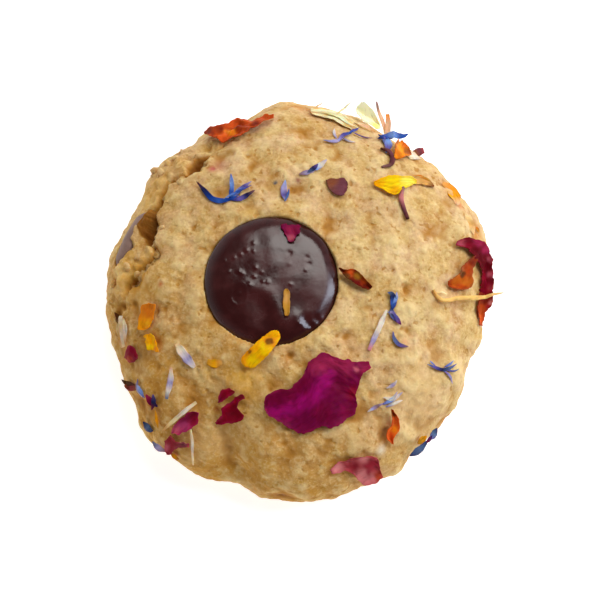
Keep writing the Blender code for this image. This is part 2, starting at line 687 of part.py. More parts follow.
def main():
    clear_scene()
    dough = finish(dough_body(), "dough", "baked dough")
    cut(dough, socket_cutter(), "socket")
    cut(dough, chunk_body(CLEAR), "pocket")
    button = finish(button_body(), "chocolate_button", "dark chocolate")
    chunk = finish(chunk_body(0.0), "chocolate_chunk", "milk chocolate")
    ground = ground_under(dough, button, chunk)
    fuse_scraps(dough, ground)
    for name, (finish_name, first, second, rises, curl, segments) in PETALS.items():
        finish(petal_body(ground, first, second, rises, curl, segments), name, finish_name)
    thread()


main()
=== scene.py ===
"""Flower cookie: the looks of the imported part, laid out as an add-on and run as a script.

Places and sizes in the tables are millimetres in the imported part's frame: +Z is up, +Y is the far side, and
the origin is the middle of the base. Each mesh is turned into metres once, by MM.
"""

from dataclasses import dataclass
from functools import lru_cache

import bmesh
import bpy
import numpy as np
from bpy.props import FloatProperty, FloatVectorProperty, IntProperty, PointerProperty
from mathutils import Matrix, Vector, kdtree, noise
from mathutils.bvhtree import BVHTree


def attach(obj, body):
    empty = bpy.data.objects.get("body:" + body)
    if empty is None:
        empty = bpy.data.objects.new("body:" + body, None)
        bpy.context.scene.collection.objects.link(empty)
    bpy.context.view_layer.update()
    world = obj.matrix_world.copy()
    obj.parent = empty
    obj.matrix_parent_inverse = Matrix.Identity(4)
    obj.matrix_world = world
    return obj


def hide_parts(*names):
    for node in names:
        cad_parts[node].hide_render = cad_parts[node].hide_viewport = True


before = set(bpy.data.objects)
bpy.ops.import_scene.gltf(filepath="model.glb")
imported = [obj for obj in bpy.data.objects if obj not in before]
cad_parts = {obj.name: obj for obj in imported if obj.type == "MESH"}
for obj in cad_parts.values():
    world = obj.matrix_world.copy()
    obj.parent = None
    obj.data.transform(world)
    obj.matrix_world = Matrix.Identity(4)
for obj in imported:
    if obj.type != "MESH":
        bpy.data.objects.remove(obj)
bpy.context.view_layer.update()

bl_info = {
    "name": "Flower cookie",
    "version": (1, 0, 0),
    "blender": (4, 5, 0),
    "location": "3D View > Sidebar > Cookie",
    "description": "Models a domed biscuit with a chocolate button, dried petals and cornflower florets",
    "category": "Object",
}

MM = 0.001


def shade(red, green, blue):
    """A linear colour from the 0 to 255 values that a screen shows."""
    share = np.array((red, green, blue)) / 255
    linear = np.where(share <= 0.04045, share / 12.92, ((share + 0.055) / 1.055) ** 2.4)
    return tuple(float(value) for value in linear)


# The colours of dried petals, florets and straws.
SHADES = {
    "wine": shade(112, 2, 44),
    "plum": shade(116, 4, 56),
    "magenta": shade(160, 6, 98),
    "berry": shade(190, 66, 116),
    "rose": shade(164, 36, 76),
    "pink": shade(196, 90, 104),
    "blood": shade(96, 0, 12),
    "crimson": shade(136, 0, 30),
    "mauve": shade(214, 128, 124),
    "dusky": shade(172, 66, 68),
    "puce": shade(116, 62, 70),
    "chestnut": shade(92, 46, 44),
    "umber": shade(84, 46, 12),
    "sienna": shade(146, 82, 44),
    "brick": shade(104, 18, 4),
    "rust": shade(172, 62, 10),
    "ember": shade(204, 108, 22),
    "flame": shade(226, 92, 28),
    "orange": shade(250, 146, 16),
    "amber": shade(246, 162, 0),
    "marigold": shade(255, 172, 0),
    "yellow": shade(255, 208, 0),
    "lemon": shade(255, 238, 96),
    "gold": shade(248, 198, 110),
    "peach": shade(244, 192, 148),
    "tan": shade(222, 162, 84),
    "ochre": shade(200, 140, 40),
    "olive": shade(148, 108, 48),
    "straw": shade(246, 212, 148),
    "cream": shade(255, 250, 200),
    "bone": shade(234, 218, 196),
    "taupe": shade(136, 96, 90),
    "ink": shade(24, 30, 74),
    "navy": shade(16, 54, 132),
    "blue": shade(50, 88, 170),
    "sky": shade(130, 160, 216),
    "violet": shade(98, 84, 150),
    "lilac": shade(170, 158, 196),
    "steel": shade(88, 108, 142),
}

# The dough's form: its half section, its plan outline with lumps and dents, and its relief.
HEIGHT = 22.0
BELLY_HEIGHT = 6.0
FOOT_TUCK = 3.0
FOOT_TURN = 0.96
DOME_FULLNESS = 2.6
SHOULDER_ROUND = 1.9
RADIUS = 37.9
LEAN, LEAN_ANGLE = 1.1, 65.0
OVAL, OVAL_ANGLE = 1.26, 88.5
# The angle that each lump of the edge faces, its half-width in degrees, and how far it stands out.
EDGE_LUMPS = (
    (1, 9, -0.4), (22, 11, 1.6), (60, 14, -0.6), (92, 8, 1.0), (103, 5, -0.7), (122, 4, -0.8), (137, 6, 0.5),
    (175, 14, 0.55), (228, 14, 1.4), (252, 6, -1.6), (279, 14, 0.9), (308, 7, -0.95), (325, 7, 0.7),
    (341, 5, -1.2),
)
SWELLS = ((17.0, 0.9), (8.0, 0.7), (4.2, 0.5))
# How much stronger the relief is on the near side.
NEAR_RELIEF = 0.45
# The relief fades out between these heights, so that the base is flat.
RELIEF_STARTS = 1.0
RELIEF_FULL = 5.0
# How many rows of points the half section has over the dome, down the side and in under the base.
DOME_ROWS, SIDE_ROWS, BASE_ROWS = 60, 16, 12
# The part of the half section, and of the dome's radius, over which a slope is taken.
SECTION_STEP, SLOPE_STEP = 0.004, 0.005
# How steep the crack's walls are: the power that its depth follows.
CRACK_WALLS = 0.7
# The crack over the far left shoulder: plan place, half-width and depth along it.
CRACK = (
    (-16.6, 27.1, 0.8, 1.2), (-18.2, 25.9, 1.9, 3.6), (-19.4, 23.9, 2.1, 3.8), (-20.7, 22.6, 0.8, 1.5),
    (-22.8, 22.4, 0.8, 1.5), (-24.7, 21.3, 1.0, 2.0), (-25.8, 19.4, 1.1, 2.2), (-26.3, 17.4, 1.0, 2.2),
    (-27.2, 15.4, 1.1, 2.4), (-28.0, 13.2, 1.8, 3.0), (-27.7, 10.8, 1.7, 3.0), (-27.0, 8.2, 0.9, 2.0),
    (-26.2, 6.2, 0.9, 1.6), (-28.4, 4.4, 0.9, 1.5), (-30.4, 2.2, 1.0, 1.8), (-32.2, 0.9, 0.9, 1.5),
)
# The soft fold in the near left side.
FOLD = (
    (-21.0, -14.5, 4.0, 0.2), (-16.4, -21.0, 4.5, 0.8), (-13.2, -27.8, 4.5, 1.4), (-11.0, -35.4, 4.0, 1.8),
)
# The sharp crease along the fold.
CREASE = (
    (-18.4, -15.6, 0.8, 0.2), (-16.2, -20.6, 0.9, 0.3), (-14.8, -25.4, 1.0, 0.5), (-13.2, -29.8, 1.1, 0.65),
    (-12.4, -34.0, 1.1, 0.5),
)
# How far the crease strays, in shares of the crack's own wandering.
CREASE_WANDER = 1.5
# Pits and torn crags: plan place, radius and depth.
PITS = (
    (-16.8, 29.5, 1.0, 1.2), (-26.1, 6.4, 0.9, 0.9), (-28.7, 4.2, 1.0, 1.0), (-30.4, 2.0, 1.5, 1.6),
    (-32.2, 1.0, 1.3, 1.3), (-34.2, -3.6, 1.4, 1.2), (-33.0, -2.6, 0.8, 0.7), (-30.9, -2.4, 0.7, 0.7),
    (-1.0, -14.1, 1.0, 1.1), (20.9, -0.8, 1.0, 0.9), (1.0, 18.4, 1.4, 0.7),
)

# How the ball's grid spreads over the half section: this share of the way down it lands on this share.
TOP_SHARE, FOOT_SHARE = 0.80, 0.58
# The fine surface of the dough. Each crumb layer has a wavelength and its share of the crumb height.
DOUGH_CUTS = 124
DOUGH_SEED = 11
CRUMB = ((3.1, 0.9), (1.7, 0.8), (0.9, 0.5))
GRAIN_SIZE = 2.1
# How much of the crumb is noise and how much grains, and how far the noise shifts the grains.
NOISE_SHARE, GRAIN_SHARE, GRAIN_SHIFT = 0.7, 0.8, 0.6
# How strongly painted shade darkens the pits, and how strongly painted light lightens the raised crumb and
# swells.
PIT_PAINTED_SHADE, CRUMB_PAINTED_LIGHT, SWELL_PAINTED_LIGHT = 2.0, 0.6, 0.7
PIT_SIZES = (0.25, 0.6)
PIT_DEPTH = 0.6
# How uneven a small pit is and over what length, how near the edge pits come, and their reach in radii.
PIT_UNEVEN, PIT_LENGTH, PIT_SPREAD, PIT_REACH = 0.6, 1.1, 0.99, 2.4
# The crack's edges wander, by layers of a wavelength and a reach. Outside it the dough is torn: how wide
# that strip is, how far it lies lower, and how rough it is.
CRACK_WANDER = ((2.3, 0.5), (0.95, 0.35))
TORN_WIDTH, TORN_DROP, TORN_ROUGH = 5.5, 0.3, 1.9
# The torn strip's large and small lumps, and how much browner it is.
TORN_LUMP, TORN_GRIT, TORN_TOAST = 2.6, 1.2, 0.3
# The crumbs that lie along the crack: how many, their radii, and how far out from the crack they lie.
# Some have a place of their own, with a radius.
CRUMBS = 190
CRUMB_SIZES = (0.25, 1.15)
CRUMB_SPREAD = 1.9
CRUMB_LEAST = 0.3
# Each crumb's sink into the dough, its lumps' height and their size, in shares of its radius.
CRUMB_SINK, CRUMB_LUMPS, CRUMB_LUMP_SIZE = 0.4, 0.8, 0.9
CRUMB_PLACES = (
    (-26.9, 25.8, 1.2), (-25.9, 24.6, 1.0), (-27.6, 24.6, 0.7), (-24.7, 26.2, 0.8), (-23.3, 27.5, 0.7),
    (-21.9, 29.4, 0.9), (-20.8, 30.4, 0.6), (-34.6, 2.4, 0.8), (-35.4, -1.0, 0.7), (-29.6, 6.6, 1.0),
    (-31.6, 4.6, 0.9), (-30.4, 3.4, 0.7),
)
# How the crust browns towards the near and left sides, which is painted shade: its least share, and its rise
# for each millimetre.
TOAST_LEAST, PAINTED_SHADE_NEAR, PAINTED_SHADE_LEFT = 0.06, 0.02, 0.014
# How patchy that is and over what length, and how brown the foot is.
TOAST_PATCHES, TOAST_LENGTH, TOAST_FOOT = 0.3, 9.0, 1.05

# Colour on the dough: marks that toppings and the oven left, and broad lighter patches, of which the two
# golden ones over the torn strip at the left are painted light. Each has a plan place, reach, colour and
# strength.
STAINS_AND_PAINTED_LIGHT = (
    (-15.6, 23.5, 0.9, shade(188, 84, 84), 0.9), (-14.4, 24.0, 1.8, shade(210, 140, 120), 0.5),
    (-24.8, 0.1, 0.5, shade(190, 90, 30), 0.9), (-14.5, -23.7, 0.6, shade(170, 80, 30), 0.8),
    (30.4, 19.6, 1.6, shade(226, 150, 60), 0.7), (29.7, 22.0, 1.1, shade(220, 120, 50), 0.7),
    (31.8, 17.6, 0.8, shade(216, 110, 40), 0.7), (35.6, 12.4, 1.5, shade(222, 150, 80), 0.6),
    (-12.4, 27.2, 0.9, shade(180, 130, 50), 0.7), (-17.3, 29.6, 1.1, shade(180, 130, 40), 0.7),
    (24.4, 22.7, 1.0, shade(206, 148, 70), 0.8), (-3.5, 19.9, 0.45, shade(84, 96, 104), 0.95),
    (-3.4, 18.8, 1.4, shade(196, 146, 60), 0.6), (0.8, 20.4, 0.5, shade(140, 60, 50), 0.9),
    (-14.6, -15.1, 1.1, shade(214, 140, 30), 0.9), (20.6, -11.0, 0.7, shade(224, 160, 110), 0.8),
    (-22.3, -30.6, 0.7, shade(180, 100, 30), 0.9), (16.2, -30.2, 0.9, shade(226, 218, 190), 0.6),
    (1.2, 39.1, 2.4, shade(222, 150, 80), 0.6), (26.6, -3.6, 1.3, shade(186, 136, 70), 0.7),
    # Painted light: the golden patches at (-31.0, 3.0) and (-27.6, 21.0) brighten the torn strip.
    (-8.3, 13.4, 1.3, shade(206, 158, 70), 0.6), (-31.0, 3.0, 4.4, shade(232, 176, 72), 0.5),
    (-27.6, 21.0, 4.4, shade(232, 176, 72), 0.5), (-9.0, -18.4, 3.4, shade(232, 172, 56), 0.6),
    (22.6, -21.3, 7.5, shade(238, 204, 146), 0.5), (-16.2, -28.6, 4.5, shade(236, 196, 132), 0.4),
    (-14.0, -18.6, 1.6, shade(176, 120, 44), 0.5),
)

# The chocolate button, and the socket that it is pressed into.
BUTTON_CENTRE = (-4.2, 0.1)
BUTTON_RADIUS = 12.6
BUTTON_FLOOR = 17.6
BUTTON_RIM = 20.9
SOCKET_LIP = 0.6
LIP_WIDTH = 2.2
SOCKET_REACH = 12.6
SOCKET_WALL = 0.45
SOCKET_CLEAR = 0.1
# How far the socket's edge wavers, and over what length.
SOCKET_WAVER, WAVER_LENGTH = 0.22, 3.0
# The button's half section: a rounded rim, a shoulder that rolls over to it, and a crown that rises gently.
BUTTON_EDGE = 0.9
BUTTON_UNDERCUT = 2.2
RIM_TURN = -0.6
BUTTON_SHOULDER = 5.0
SHOULDER_STARTS = 9.3
CROWN_SLOPE = 0.1
BUTTON_TURNS = 220
BUTTON_RINGS = 60
# How many points its rim and its shoulder have.
RIM_POINTS, SHOULDER_POINTS = 12, 24
# How uneven the button's rim is, from a radius on and more over a span, and its top, broadly and finely.
RIM_UNEVEN, RIM_STARTS, RIM_SPAN = 0.14, 9.0, 3.0
BROAD_UNEVEN, BROAD_LENGTH = 0.1, 5.0
FINE_UNEVEN, FINE_LENGTH = 0.05, 2.6
# Small bumps left by air: plan place, radius and height, which is below nothing for a dent.
BUBBLES = (
    (-12.9, 3.8, 0.32, 0.16), (-11.1, 4.3, 0.34, 0.2), (-9.9, 4.9, 0.34, 0.2), (-8.8, 5.7, 0.42, 0.26),
    (-7.5, 5.5, 0.3, 0.16), (-7.5, 7.1, 0.36, 0.14), (-7.1, 2.3, 0.4, 0.22), (-12.1, 1.6, 0.36, 0.16),
    (-10.2, 1.6, 0.42, 0.2), (-9.6, 1.2, 0.42, 0.2), (-5.9, 1.4, 0.35, 0.1), (-7.3, 0.5, 0.4, 0.16),
    (-4.8, -0.5, 0.5, 0.16), (-5.7, -0.4, 0.35, 0.12), (-8.2, -1.0, 0.42, 0.24), (-10.1, -2.6, 0.4, 0.16),
    (-0.5, -1.0, 0.36, 0.16), (2.2, 1.9, 0.36, 0.12), (-0.8, 3.0, 0.5, 0.1), (-0.8, 5.1, 0.5, -0.16),
    (2.9, 3.0, 0.55, -0.16), (2.5, 4.3, 0.4, -0.12), (2.4, -7.7, 0.9, -0.45), (4.1, -7.4, 0.8, -0.4),
    (1.0, -8.4, 0.6, 0.3), (2.0, -9.6, 0.7, 0.25), (4.4, -8.7, 0.8, 0.3), (3.2, -8.6, 0.5, -0.4),
    (5.4, -7.4, 0.5, 0.25),
)
# What share of its height each bump is given.
BUBBLE_RISE = 0.45
# The smooth wave across the button, and the faint ring left of it.
WAVE = ((-8.4, -1.6), (-6.0, -1.7), (-4.4, -2.6), (-3.7, -4.5), (-2.8, -6.5), (-1.4, -7.7), (0.2, -7.3))
WAVE_WIDTH, WAVE_HEIGHT = 1.5, 0.2
RING_CENTRE, RING_RADIUS, RING_WIDTH, RING_HEIGHT = (-10.2, -2.8), 1.6, 0.45, 0.06

# The chunk of chocolate in the far left side.
CHUNK_PLACE = (-31.5, 10.8)
CHUNK_HALF = (6.2, 1.9, 1.9)
CHUNK_SLOPE = -14.0
CHUNK_SINK = 1.1
CHUNK_SQUARE = 0.25
CHUNK_TAPER = 0.25
CHUNK_CLEAR = 0.12
CHUNK_CUTS = 30
# How uneven the chunk is, and over what length.
CHUNK_UNEVEN, UNEVEN_LENGTH = 0.16, 2.4
# How far from the chunk no crumb lies, along it and across it.
CRUMB_CLEAR = (0.5, 0.6)
# Torn dough laps over the inner side of the chunk's far end: how thick it is there, how ragged its edge is,
# how far across the chunk it reaches, and how much fuller it is over the chunk's corners. It ends along the
# chunk where its reach has grown past the chunk's side.
LAP_THICK, LAP_RAGGED, LAP_REACH, LAP_CORNERS = 0.35, 0.4, 0.4, 2.4
LAP_ENDS, LAP_GROWTH, LAP_PAST, LAP_OUTSIDE = -0.1, 1.8, 1.2, -0.4
LAP_LUMP, LAP_TEETH = 1.4, 1.5

# How far out, as a share of the radius, a place still counts as on the top, and how far a search for the
# surface reaches.
EDGE_REACH = 0.975
PROBE = 8.0
# How finely the surface that petals lie on is cut.
GROUND_CUTS = 60

# How far a petal or strand lies above the smooth dough, how thick petals are, and how wide their rims are.
PETAL_LIFT = 0.42
STRAND_LIFT = 0.3
LEAST_LIFT = 0.2
PETAL_THICK = 0.12
RIM_WIDTH = 0.55
# A petal's folds run along it, and so do its sharper creases: the length and width of each.
FOLD_LENGTH, FOLD_WIDTH = 6.0, 1.5
CREASE_LENGTH, CREASE_WIDTH = 4.2, 1.5
# How deep the troughs between a petal's ribs are, and how much painted shade darkens them.
RIB_DEPTH, RIB_PAINTED_SHADE = 0.14, 0.16
# How sharply a spot ends, and how strongly it colours. How far its middle strays and its reach varies.
CRISP_SPOT, SOFT_SPOT = (5, 20), (2, 5)
SPOT_STRAY, SPOT_UNEVEN = 0.5, 0.35
RIM_TINT = 0.6
# Over which shares of its length a strand tapers at its start and end, and how far its width and lie vary.
TAPER_START, TAPER_END = 0.35, 0.4
WIDTH_VARIES, LIE_VARIES = 0.25, 0.08
STRAND_SHADE = 0.25
VEIN_STRETCH = 0.18
# How far apart in the noise one petal or strand lies from the next.
PETAL_APART, STRAND_APART = 7.3, 5.1

# The camera and the stage.
CAMERA_TARGET = (1.17, 0.3, 7.0)
CAMERA_DISTANCE = 325.0
CAMERA_ELEVATION = 75.0
CAMERA_LENS = 100.0
CAMERA_SENSOR = 36.0
FLOOR_SIZE = 4000.0
# Each light: its direction from the cookie, its distance, its width and height, and its colour.
FAR_LIGHT = ((0.2, 0.48, 0.85), 700, (330, 330), (1.0, 0.97, 0.93))
SIDE_LIGHT = ((0.7, 0.14, 0.7), 500, (170, 330), (0.76, 0.84, 1.0))
# The direction that the sky brightens towards, where that starts and ends, and the share it starts from.
SKY_BRIGHT, SKY_RISE, SKY_LEAST = (-0.15, 0.06, -0.99), (-0.97, 0.25), 0.06


@dataclass
class Petal:
    """A thin petal between two long edges, each a row of plan points. A third number in a point is its
    height, where the petal stands free of the dough. Its start, middle and end rise off the dough, and its
    sides curl up or, below nothing, down. The spots of each shade have a plan place and a reach. The cuts
    are the points along and across it. A blunt petal has rounded ends, the squarer the larger the number.
    Ribs run along it."""

    first: tuple
    second: tuple
    rises: tuple
    curl: float
    tint: str
    rim: str
    spots: dict
    cuts: tuple = (30, 16)
    crumple: float = 0.2
    ragged: float = 0.16
    blunt: float = 0.0
    ribs: float = 0.0


@dataclass
class Strand:
    """A narrow dried scrap that follows a row of plan points: its half-width, the names of its shades from
    end to end, how far its start, middle and end rise off the dough, how thick it is, how deep a trough it
    forms, and what share of its width each end keeps."""

    half_width: float
    route: tuple
    shades: str
    rises: tuple = (0.1, 0.1, 0.1)
    thick: float = 0.09
    trough: float = 0.3
    ends: tuple = (0.05, 0.05)


ROSE_PETALS = {
    # Its magenta spots along the middle ridge are painted highlight, and its wine spots are painted shade in
    # its folds.
    "rose_petal_large": Petal(
        ((-5.3, -22.3), (-4.7, -21.2), (-3.6, -20.6), (-2.3, -20.2), (-0.7, -20.1), (0.8, -18.8),
         (1.9, -17.4), (2.6, -15.5), (4.3, -14.4), (5.8, -13.8), (7.4, -14.5), (9.5, -14.9), (11.3, -15.2),
         (13.6, -15.1)),
        ((-5.3, -23.5), (-4.4, -24.8), (-2.9, -25.7), (-1.6, -26.6), (0.2, -27.5), (1.7, -28.0), (2.6, -27.8),
         (4.1, -27.1), (5.2, -26.6), (6.7, -26.9), (8.2, -26.3), (9.5, -25.6), (10.8, -24.7), (11.5, -22.9),
         (11.3, -21.1), (11.9, -19.3), (12.4, -17.3), (14.1, -16.2)),
        (0.2, 0.25, 0.4), 0.4, "plum", "rose",
        {"magenta": ((-3.4, -24.2, 0.9), (-0.8, -23.6, 1.0), (1.4, -22.8, 1.1), (3.8, -21.0, 1.2),
         (5.8, -18.9, 1.0), (7.0, -17.4, 0.6)), "wine": ((-3.4, -22.1, 1.2), (-0.7, -21.2, 1.3),
         (1.9, -19.8, 1.2), (8.5, -19.4, 1.2), (5.6, -24.5, 1.3), (10.4, -23.8, 1.2)),
         "crimson": ((10.8, -20.6, 0.9),), "rose": ((4.5, -15.7, 1.2), (7.3, -15.5, 1.2), (9.6, -16.2, 1.0),
         (13.2, -15.9, 1.0)), "pink": ((11.4, -16.5, 0.4),)},
        cuts=(96, 64), crumple=0.24, ragged=0.24,
    ),
    "rose_flake": Petal(
        ((-2.3, 10.6), (-1.7, 8.6), (-0.9, 7.2)),
        ((1.2, 10.4), (1.0, 8.9), (-0.1, 7.2)),
        (0.2, 0.0, 0.1), 0.2, "plum", "plum",
        {"rose": ((-0.6, 9.2, 0.7),), "pink": ((-0.6, 8.0, 0.5),), "wine": ((0.7, 9.6, 0.6),)},
        cuts=(24, 16), ragged=0.3,
    ),
    "magenta_petal": Petal(
        ((-22.6, -26.2), (-21.2, -25.0), (-19.8, -24.1), (-18.7, -23.5), (-17.9, -23.7)),
        ((-22.0, -27.1), (-20.3, -27.1), (-18.9, -26.7), (-17.8, -25.9), (-17.6, -24.4)),
        (0.2, 0.1, 0.3), 0.4, "rose", "rose",
        {"wine": ((-20.2, -24.7, 0.8),), "blood": ((-18.9, -24.2, 0.7),), "berry": ((-20.4, -25.9, 0.8),),
         "crimson": ((-18.6, -25.2, 0.8),), "pink": ((-21.9, -26.5, 0.6),)},
        cuts=(36, 24), crumple=0.3, ragged=0.24, blunt=6.0,
    ),
}
MAUVE_PETALS = {
    "rose_petal_mauve": Petal(
        ((6.7, -33.9), (7.6, -33.2), (9.5, -32.6), (11.4, -31.7), (13.3, -31.1), (15.2, -31.3)),
        ((6.9, -34.4), (8.2, -34.6), (9.5, -34.1), (11.1, -34.5), (12.2, -35.3), (13.7, -35.8), (15.1, -35.2),
         (16.3, -34.3), (15.8, -33.0), (15.4, -31.6)),
        (0.3, 0.1, 0.2), 0.3, "dusky", "dusky",
        {"mauve": ((7.9, -33.8, 0.9), (12.7, -31.7, 0.6), (12.4, -34.6, 0.8), (13.6, -35.2, 0.5),
         (14.6, -34.6, 0.5)), "dusky": ((10.5, -32.5, 0.8),), "crimson": ((11.2, -33.3, 0.8),
         (13.7, -33.9, 0.3), (14.8, -32.4, 0.7), (13.6, -32.9, 0.5)), "rust": ((15.6, -34.3, 0.6),)},
        cuts=(48, 32), crumple=0.34, ragged=0.22,
    ),
}
CRIMSON_PETALS = {
    # Its blood spots are painted shade in its inner fold, and the pink spots along its curled right edge are
    # painted highlight.
    "rose_petal_burgundy": Petal(
        ((30.6, 9.0), (32.2, 10.0), (34.0, 10.2), (35.4, 9.8, 13.0), (36.6, 8.2, 11.8), (37.1, 6.4, 10.9),
         (37.1, 4.0, 10.4), (37.3, 1.6, 10.6), (37.0, 0.2, 11.0)),
        ((30.8, 8.4), (32.2, 8.1), (33.4, 6.9), (34.4, 5.6), (34.8, 4.2), (34.9, 2.6), (35.2, 0.4)),
        (0.1, 0.1, -0.1), 0.4, "blood", "crimson",
        {"pink": ((31.3, 9.0, 0.6), (36.7, 7.0, 0.4), (36.8, 4.2, 0.4)), "crimson": ((32.6, 8.8, 0.8),
         (35.5, 3.6, 0.7), (36.2, 1.6, 0.8)), "blood": ((33.9, 7.8, 1.0), (35.2, 5.6, 0.7), (36.2, 6.0, 0.5)),
         "rose": ((34.4, 9.7, 0.7), (36.2, 8.6, 0.6)), "brick": ((35.4, 1.8, 0.4),),
         "dusky": ((36.9, 1.6, 0.4),)},
        cuts=(72, 28), crumple=0.5, ragged=0.3,
    ),
    "crimson_petal_upper": Petal(
        ((-14.2, -22.3), (-13.8, -21.1), (-12.9, -20.0), (-11.9, -19.8), (-10.8, -20.3)),
        ((-14.0, -22.6), (-12.9, -22.1), (-11.8, -21.3), (-10.8, -20.8)),
        (0.1, 0.1, 0.1), 0.2, "crimson", "rose",
        {"crimson": ((-12.4, -20.9, 0.9),), "wine": ((-13.6, -22.0, 0.5),), "brick": ((-11.2, -20.6, 0.4),)},
        cuts=(30, 20), crumple=0.16, ragged=0.2, blunt=5.0,
    ),
    "crimson_petal_lower": Petal(
        ((-9.3, -21.0), (-10.6, -21.5), (-12.1, -22.7), (-13.4, -23.5), (-13.4, -24.4), (-14.8, -25.9)),
        ((-9.0, -21.7), (-10.3, -22.6), (-10.3, -23.6), (-9.0, -24.8), (-10.3, -25.7), (-12.2, -26.2),
         (-14.6, -26.4)),
        (0.1, 0.3, 0.1), 0.3, "crimson", "rose",
        {"blood": ((-10.8, -23.4, 0.9), (-9.9, -24.6, 0.6)), "crimson": ((-12.6, -25.0, 0.9),
         (-12.4, -23.6, 0.7)), "brick": ((-9.6, -21.6, 0.5),)},
        cuts=(40, 28), ragged=0.2,
    ),
    "crimson_petal_left": Petal(
        ((-23.7, -27.8), (-22.6, -27.2), (-21.5, -28.2), (-20.1, -28.6), (-19.2, -29.0)),
        ((-23.6, -29.2), (-22.8, -30.0), (-21.7, -29.3), (-20.6, -29.2), (-19.2, -29.5)),
        (0.2, 0.2, 0.2), 0.2, "dusky", "dusky",
        {"pink": ((-23.4, -28.8, 0.5),), "crimson": ((-22.5, -28.3, 0.8), (-22.8, -29.5, 0.5)),
         "puce": ((-20.2, -28.9, 0.7),)},
        cuts=(36, 20), crumple=0.3, ragged=0.2,
    ),
    "crimson_petal_side": Petal(
        ((-32.4, -12.0), (-31.9, -10.9), (-30.9, -10.2), (-29.9, -11.1), (-29.4, -12.6)),
        ((-32.3, -12.4), (-31.7, -13.1), (-30.9, -13.5), (-30.0, -13.5), (-29.4, -13.0)),
        (0.2, 0.4, 0.2), -0.3, "wine", "dusky",
        {"crimson": ((-31.1, -11.2, 0.9), (-29.9, -12.0, 0.6)), "rust": ((-31.3, -12.8, 0.7),)},
        cuts=(30, 20), ragged=0.14,
    ),
}
ORANGE_PETALS = {
    "orange_petal_right": Petal(
        ((33.7, 7.0), (31.7, 4.9), (30.7, 2.9), (28.4, 1.0)),
        ((34.3, 6.4), (33.4, 4.5), (32.9, 2.6), (32.5, 0.3), (29.2, -0.1)),
        (0.1, 0.4, 0.1), 0.5, "rust", "sienna",
        {"brick": ((33.4, 6.0, 0.8),), "rust": ((32.4, 4.3, 0.7), (31.2, 0.3, 0.5), (29.0, 0.4, 0.5)),
         "umber": ((31.2, 3.0, 0.6),), "ember": ((30.4, 1.9, 0.9), (32.3, 1.6, 0.7)),
         "sienna": ((31.2, 4.0, 0.5),)},
        cuts=(40, 28), crumple=0.5, ragged=0.2,
    ),
    "orange_petal_back": Petal(
        ((-17.2, 31.9), (-14.0, 33.4), (-11.0, 35.4), (-8.0, 34.6), (-3.8, 34.5)),
        ((-16.6, 31.2), (-13.6, 29.6), (-10.0, 30.4), (-8.0, 31.8), (-3.8, 33.8)),
        (0.2, 0.3, 0.6), 0.6, "rust", "flame",
        {"chestnut": ((-16.8, 32.1, 0.9),), "flame": ((-13.6, 31.2, 1.0), (-12.2, 34.6, 0.8),
         (-9.0, 34.4, 0.7), (-6.2, 34.4, 0.7)), "brick": ((-14.6, 33.0, 0.7), (-11.0, 33.4, 0.8),
         (-7.4, 33.4, 0.5)), "rust": ((-9.2, 32.4, 0.6), (-4.6, 34.2, 0.6)), "orange": ((-12.4, 32.0, 0.7),)},
        cuts=(66, 28), crumple=0.8, ragged=0.26,
    ),
    "orange_petal_front": Petal(
        ((17.5, -23.1), (17.7, -24.3), (17.5, -25.5), (16.8, -26.9), (16.8, -27.6), (17.8, -28.8)),
        ((17.9, -23.0), (18.7, -24.0), (19.1, -25.0), (19.1, -26.2), (18.3, -27.5), (18.2, -28.8)),
        (0.2, 0.4, 0.2), 0.6, "flame", "flame",
        {"umber": ((17.9, -23.5, 0.6),), "rust": ((18.4, -25.0, 0.7), (18.1, -28.4, 0.4)),
         "flame": ((17.5, -27.2, 0.7),), "orange": ((18.2, -26.3, 0.5),)},
        cuts=(36, 16), crumple=0.4, ragged=0.12,
    ),
    "orange_petal_far": Petal(
        ((20.1, 30.5), (19.2, 28.8), (18.9, 25.5)),
        ((20.5, 30.5), (21.6, 29.4), (22.4, 27.2), (20.7, 25.6)),
        (0.5, 0.4, 0.1), 0.6, "orange", "rust",
        {"chestnut": ((19.1, 29.2, 0.6),), "sienna": ((19.0, 27.8, 0.5),), "orange": ((20.3, 28.2, 0.9),),
         "brick": ((22.0, 28.0, 0.9),), "flame": ((21.1, 29.2, 0.5),), "ember": ((19.8, 26.5, 0.5),)},
        cuts=(36, 24), crumple=0.26, ragged=0.1,
    ),
    "orange_petal_left_upper": Petal(
        ((-28.5, -3.1), (-28.9, -5.4), (-29.4, -8.0)),
        ((-25.7, -3.4), (-26.0, -5.6), (-26.5, -8.2)),
        (0.2, 0.1, 0.2), 0.3, "orange", "orange",
        {"ember": ((-26.8, -4.3, 1.4),), "amber": ((-27.8, -7.1, 1.0),)},
        cuts=(36, 18), crumple=0.22, ragged=0.24, blunt=16.0,
    ),
}
